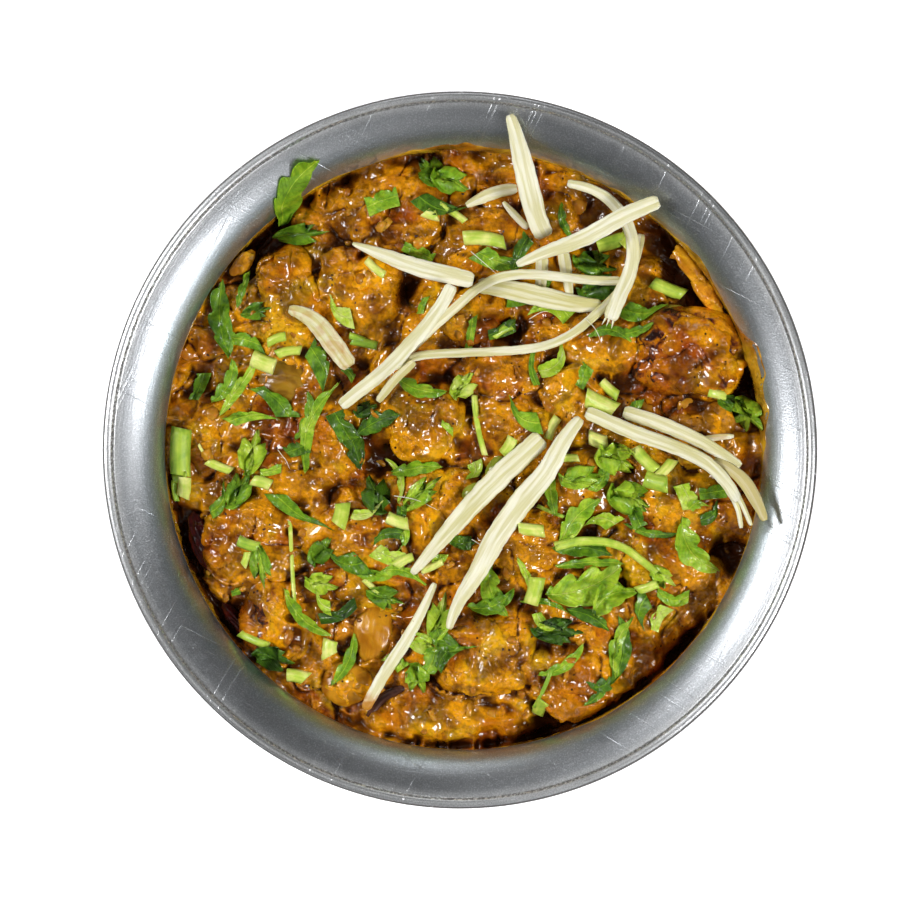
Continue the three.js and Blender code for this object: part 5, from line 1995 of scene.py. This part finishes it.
@dataclass(frozen=True)
class Herbs:
    """Chopped coriander: thin closed leaves and cut stems laid on the food."""

    stations: int = 31
    across: int = 19
    thickness: float = 0.2
    spread: float = 1.12
    clear: float = 0.1  # between a leaf and what it lies on
    roof_gap: float = 0.15  # between a leaf and the ginger over it
    open_sky: float = 100.0  # undersides higher than this are no ginger's

    def outline(self, kind: Leaf, a: Array, b: Array, seed: int) -> tuple[Array, Array]:
        """Where a leaf's grid lies, in shares of its length and half width.

        A frill is a fan about its stalk with three notched lobes, a blade swells as
        sin(pi a^0.85)^0.75 with small lobes, and a chop is an oblong cut askew with one
        lobed side.

        Args:
            kind: the shape.
            a, b: shares along (0 to 1) and across (-1 to 1).
            seed: picks notches and slants.

        Returns:
            Places along and across.
        """
        rng = np.random.default_rng(seed)
        shift, slant, taper = rng.uniform(0, 1), rng.uniform(-0.35, 0.35), rng.uniform(0.6, 1)
        if kind is Leaf.FRILL:
            lobes = 0.5 + 0.5 * np.abs(np.cos(1.5 * math.pi * b)) ** 0.6
            far = (0.05 + 0.95 * a) * (lobes - 0.24 * self.notches(3.6 * b + shift) * a)
            return far * np.cos(1.15 * b), far * np.sin(1.15 * b) / 0.87
        if kind is Leaf.BLADE:
            swell = np.sin(math.pi * (0.03 + 0.94 * a) ** 0.85) ** 0.75
            notch = self.notches(3.1 * a + shift + 0.3 * np.sign(b)) * b * b
            notch = notch * np.where(b > 0, 1.0, 0.35)
            return a + 0.07 * np.abs(b) * (1 - 1.6 * notch), b * swell * (1 - 0.6 * notch)
        wide = taper + (1 - taper) * a
        lobes = 1 - 0.5 * self.notches(1.7 * a + shift) - 0.14 * self.notches(5.3 * a + shift)
        teeth = np.where(b > 0, 1 + (lobes - 1) * b, 1)
        return a + slant * b * (0.5 + 0.5 * a), b * wide * teeth

    @staticmethod
    def notches(value: Array) -> Array:
        """Narrow notches between rounded lobes, 1 - |sin(pi v)|^0.6: 1 at whole numbers."""
        return 1 - np.abs(np.sin(math.pi * value)) ** 0.6

    def leaf(self, kind: Leaf, row: tuple[float, ...], seed: int, ground: Ground) -> Patch:
        """One leaf: half laid flat on the mean slope, half following the food, then curled.

        Args:
            kind: its shape.
            row: its place, heading, length, width, tone and curl.
            seed: picks its teeth and bends.
            ground: what it lies on, raised by it.

        Returns:
            The closed leaf with its values "tone" and "cut".
        """
        x, y, heading, length, width, tone, curl = row
        length, width = self.spread * length, self.spread * width
        rng = np.random.default_rng(seed)
        a, b = np.meshgrid(
            np.linspace(0, 1, self.stations), np.linspace(-1, 1, self.across), indexing="ij"
        )
        along, side = self.outline(kind, a, b, seed)
        bow = rng.uniform(-0.22, 0.22) * length
        p = (along - 0.5) * length
        q = side * 0.5 * width + bow * (1 - (2 * a - 1) ** 2)
        px, py = turned(p, q, heading)
        px, py = px + x, py + y
        soft = ground.soft.at(px, py)
        basis = stacked(p.ravel(), q.ravel(), 1.0)
        plane = (basis @ np.linalg.lstsq(basis, soft.ravel(), rcond=None)[0]).reshape(p.shape)
        fold = rng.uniform(0.4, 1.0) * curl
        cup = 0.42 * width * fold * (np.abs(b) ** 1.6 - 0.35)
        lift = 0.16 * length * curl * rng.uniform(0.2, 1.0) * (2 * a - 1) ** 2
        ripple = 0.14 * width * np.sin(7 * a + rng.uniform(0, 6)) * b * np.abs(b)
        z = 0.6 * plane + 0.4 * soft + cup + lift + ripple + 0.4
        below = np.maximum(ground.crest.at(px, py), ground.food.at(px, py))
        z = np.maximum(z, below + self.clear)
        roof = ground.roof.at(px, py)
        z = np.where(roof < self.open_sky, np.minimum(z, roof - self.roof_gap), z)
        top = stacked(px, py, z)
        under = top - [0, 0, self.thickness]
        rings = np.concatenate([top[:, ::-1], under], axis=1)
        uv = stacked(along * length, side * 0.5 * width)
        uv = np.concatenate([uv[:, ::-1], uv], axis=1)
        body = lofted(rings[:, ::-1], uv=uv[:, ::-1])
        ground.food.raised(top)
        none = np.zeros(len(body.points))
        body.values = {"tone": tone + none, "cut": none}
        return body

    def stem(self, row: tuple[float, ...], seed: int, ground: Ground) -> Patch:
        """One cut stem: a ribbed rod resting on the mean line of the food below it.

        Args:
            row: its place, heading, length, width and tone.
            seed: picks its bow and cuts.
            ground: what it lies on, raised by it.

        Returns:
            The closed stem with its values "tone" and "cut".
        """
        x, y, heading, length, width, tone = row
        rng = np.random.default_rng(seed)
        count = max(7, int(length / 1.2))
        s = np.linspace(-0.5, 0.5, count)
        bow = rng.uniform(-0.07, 0.07) * length * (1 - 4 * s * s)
        px, py = turned(s * length, bow, heading)
        px, py = px + x, py + y
        soft = ground.soft.at(px, py)
        radius = 0.5 * width
        slope = np.polyfit(s, soft, 1)
        line = np.polyval(slope, s) + 0.55 * radius
        z = np.maximum(line, ground.food.at(px, py) + 0.3 * radius)
        roof = ground.roof.at(px, py)
        z = np.where(roof < self.open_sky, np.minimum(z, roof - radius), z)
        z = np.polyval(np.polyfit(s, z, 2), s)
        slants = rng.uniform(-0.55, 0.55, 2)
        return self.rod(stacked(px, py, z), radius * np.ones(count), tone, ground, slants)

    def rod(
        self, middle: Array, radius: Array, tone: float, ground: Ground, slants: Array = (0, 0)
    ) -> Patch:
        """A ribbed rod along a line, with pale cut ends slightly dished.

        Args:
            middle: its centres (n, 3).
            radius: its radii (n,).
            tone: from dark to lime.
            ground: what it lies on, raised by it.
            slants: how far askew its two ends are cut.

        Returns:
            The closed rod with its values "tone" and "cut".
        """
        size = 12
        ribbed = radius[:, None] * (1 + 0.06 * np.cos(4 * full_turn(size)))
        rings, uv = swept(middle, ribbed, 0.86 * radius, 2.2, size)
        run = (middle[-1] - middle[0]) / np.linalg.norm(middle[-1] - middle[0])
        skew = np.linspace(*slants, len(middle))[:, None] * uv[..., 1]
        rings = rings + skew[..., None] * run
        ends = (rings[0].mean(axis=0), rings[-1].mean(axis=0))
        near = [ends[0] + (rings[0] - ends[0]) * k for k in (0.55, 0.93)]
        far = [ends[1] + (rings[-1] - ends[1]) * k for k in (0.93, 0.55)]
        rings = np.concatenate([np.stack(near), rings, np.stack(far)])
        uv = np.concatenate([uv[:1], uv[:1], uv, uv[-1:], uv[-1:]])
        body = lofted(rings, ends, uv)
        marks = np.concatenate([[1, 0.6], np.zeros(len(middle)), [0.6, 1]])
        cut = np.concatenate([np.repeat(marks, size), [1, 1]])
        ground.food.raised(rings)
        body.values = {"tone": np.full(len(body.points), tone), "cut": 0.8 * cut}
        return body

    def dress(self, ground: Ground) -> None:
        """Makes the leaves, one joined piece for each shape, and the stems."""
        greens = (
            (0.0, rgb(0.014, 0.038, 0.003)),
            (0.3, rgb(0.062, 0.160, 0.006)),
            (0.55, rgb(0.20, 0.39, 0.012)),
            (0.8, rgb(0.46, 0.66, 0.032)),
            (1.0, rgb(0.66, 0.78, 0.18)),
        )
        limes = (
            (0.2, rgb(0.09, 0.22, 0.02)),
            (0.55, rgb(0.28, 0.47, 0.04)),
            (0.8, rgb(0.55, 0.70, 0.08)),
            (1.0, rgb(0.84, 0.86, 0.26)),
        )
        leafy = HerbFinish("coriander_leaf", greens, True).build()
        stalky = HerbFinish("coriander_stalk", limes, False, 0.26).build()
        stalks = [self.stem(row, 900 + i, ground) for i, row in enumerate(STEMS)]
        flat = spline(RUNNER, 36)
        z = ground.soft.at(flat[:, 0], flat[:, 1])
        z = np.maximum(z, z.max() - 1.6) + 0.9
        runner = stacked(*flat.T, box_mean(z, 4))
        stalks.append(self.rod(runner, np.linspace(1.05, 0.8, 36), 0.78, ground))
        stalks += [self.stem(row, 960 + i, ground) for i, row in enumerate(THREADS)]
        for k, (kind, rows) in enumerate(LEAVES.items()):
            leaves = [self.leaf(kind, row, 500 + 70 * k + i, ground) for i, row in enumerate(rows)]
            make_piece(f"coriander_{kind.value}s", joined(leaves), leafy, "coriander")
        make_piece("coriander_stems", joined(stalks), stalky, "coriander")


@dataclass(frozen=True)
class Bits:
    """Loose grains on the masala: minced onion and coarse ground spice."""

    seed: int = 77
    reach: float = 65.0

    def scatter(self, count: int, sizes: tuple[float, float], seed: int, ground: Ground) -> Patch:
        """Small rough lumps sunk by a third into the food at random places.

        Args:
            count: how many.
            sizes: smallest and largest radius.
            seed: picks places, sizes and turns.
            ground: what they lie on.

        Returns:
            All of them as one patch with the value "deep".
        """
        rng = np.random.default_rng(seed)
        reach = self.reach * np.sqrt(rng.uniform(0, 1, count))
        turn = rng.uniform(0, 2 * math.pi, count)
        x, y = reach * np.cos(turn), reach * np.sin(turn)
        radius = rng.uniform(*sizes, count)
        stretch = rng.uniform(0.6, 1.7, (count, 3)) * [1, 1, 0.8]
        spin = rng.uniform(0, math.pi, count)
        z = ground.food.at(x, y) - 0.25 * radius
        patches = []
        for i in range(count):
            half = tuple(radius[i] * stretch[i])
            lump = Lump((x[i], y[i], z[i]), half, math.degrees(spin[i]), 3.2, 0.5, seed + i)
            rings = lump.rings(8, 4)
            body = lofted(rings[1:-1], (rings[0, 0], rings[-1, 0]))
            body.values = {"deep": 0.6 * ground.depth(body.points)}
            patches.append(body)
        return joined(patches)

    def dress(self, ground: Ground) -> None:
        """Makes one piece for each kind of grain."""
        onion = SoftFinish("onion_mince", rgb(0.62, 0.29, 0.02), rgb(0.34, 0.12, 0.008), 0.12)
        dark, darker = rgb(0.06, 0.02, 0.01), rgb(0.02, 0.008, 0.005)
        spice = SoftFinish("ground_spice", dark, darker, 0.4, 0.0)
        kinds = (
            ("onion_mince", 120, (0.5, 1.2), onion, "onion"),
            ("ground_spice", 150, (0.13, 0.26), spice, "spice"),
        )
        for i, (name, count, sizes, finish, slot) in enumerate(kinds):
            patch = self.scatter(count, sizes, self.seed + 1000 * i, ground)
            make_piece(name, patch, finish.build(), slot)


# ---- Studio ----


@dataclass(frozen=True)
class SoftBox:
    """A large soft light that looks at the dish."""

    name: str
    azimuth: float
    elevation: float
    distance: float
    width: float
    height: float
    radiance: float

    def build(self) -> None:
        """Puts the light in place; its power is radiance times pi times its area."""
        data = bpy.data.lights.new(self.name, "AREA")
        data.shape = "RECTANGLE"
        data.size, data.size_y = self.width, self.height
        data.energy = self.radiance * math.pi * self.width * self.height
        lamp = put(self.name, data)
        turn, rise = math.radians(self.azimuth), math.radians(self.elevation)
        out = Vector(
            (math.cos(rise) * math.cos(turn), math.cos(rise) * math.sin(turn), math.sin(rise))
        )
        lamp.location = Vector((0, 0, 0.06)) + self.distance * out
        lamp.rotation_euler = out.to_track_quat("Z", "Y").to_euler()


@dataclass(frozen=True)
class Studio:
    """Camera nearly overhead, two large side lights, a pale floor and a dim room."""

    frame_width: float = 0.2005
    distance: float = 0.9
    tilt: float = 5.2
    aim: tuple[float, float, float] = (-0.0015, 0.0, 0.064)
    lights: tuple[SoftBox, ...] = (
        SoftBox("key_right", -27, 38, 1.0, 0.24, 0.24, 36.0),
        SoftBox("key_left", 166, 38, 1.0, 0.24, 0.24, 33.0),
        SoftBox("tall_right", -27, 42, 1.02, 0.22, 1.5, 2.2),
        SoftBox("tall_left", 160, 42, 1.02, 0.26, 1.5, 1.3),
        SoftBox("low_back", 92, 15, 1.3, 0.5, 0.4, 2.6),
        SoftBox("fill_front", 275, 40, 1.2, 0.9, 0.7, 0.3),
    )

    def build_camera(self) -> None:
        """Looks down, tilted a little towards +X, with +Y up in the frame."""
        data = bpy.data.cameras.new("camera")
        data.sensor_width = 36.0
        data.lens = 36.0 * self.distance / self.frame_width
        data.clip_start, data.clip_end = 0.01, 50.0
        camera = put("camera", data)
        tilt = math.radians(self.tilt)
        back = Vector((math.sin(tilt), 0, math.cos(tilt)))
        camera.location = Vector(self.aim) + self.distance * back
        camera.rotation_euler = (0.0, tilt, 0.0)
        bpy.context.scene.camera = camera

    def build_floor(self) -> None:
        """A wide pale floor under the bowl, faintly lit from below."""
        size = 3.0
        mesh = bpy.data.meshes.new("floor")
        corners = [(-size, -size, 0), (size, -size, 0), (size, size, 0), (-size, size, 0)]
        mesh.from_pydata(corners, [], [(0, 1, 2, 3)])
        material, tree, shader = new_finish(
            "pale_floor", Roughness=0.9, Emission_Strength=0.55, Emission_Color=rgb(1, 1, 1)
        )
        cloudy = tree.noise(tree.place(), 3.0)
        pale = tree.mix(cloudy, rgb(0.92, 0.92, 0.92), rgb(0.95, 0.95, 0.95))
        tree.feed(shader, Base_Color=pale)
        mesh.materials.append(material)
        put("floor", mesh)

    def build_room(self) -> None:
        """A dim room that looks white where the camera sees past the floor."""
        world = bpy.data.worlds.new("room")
        bpy.context.scene.world = world
        world.use_nodes = True
        tree = Tree(world.node_tree)
        back = world.node_tree.nodes["Background"]
        up = tree.parts(tree.read("TexCoord", {}, "Generated"))[2]
        high = tree.spread(up, 0.35, 0.8)
        room = tree.mix(high, rgb(0.085, 0.088, 0.092), rgb(0.06, 0.06, 0.058))
        seen = tree.read("LightPath", {}, "Is Camera Ray")
        tree.feed(back, Color=tree.mix(seen, room, rgb(1, 1, 1)))

    def build(self) -> None:
        """Builds the floor, the room and the lights, and keeps colours as they are."""
        self.build_floor()
        self.build_room()
        for light in self.lights:
            light.build()
        bpy.context.scene.view_settings.view_transform = "Standard"


def main() -> None:
    """Builds camera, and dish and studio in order."""
    logging.basicConfig(level=logging.INFO, format="%(name)s: %(message)s")
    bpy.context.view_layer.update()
    studio = Studio()
    studio.build_camera()
    ground = Ground()
    Bowl().dress()
    Masala().dress(ground)
    Lumps().dress(ground)
    ground.settled()
    Spice().dress(ground)
    Ginger().dress(ground)
    Bits().dress(ground)
    ground.settled()
    Herbs().dress(ground)
    studio.build()


if __name__ == "__main__":
    main()
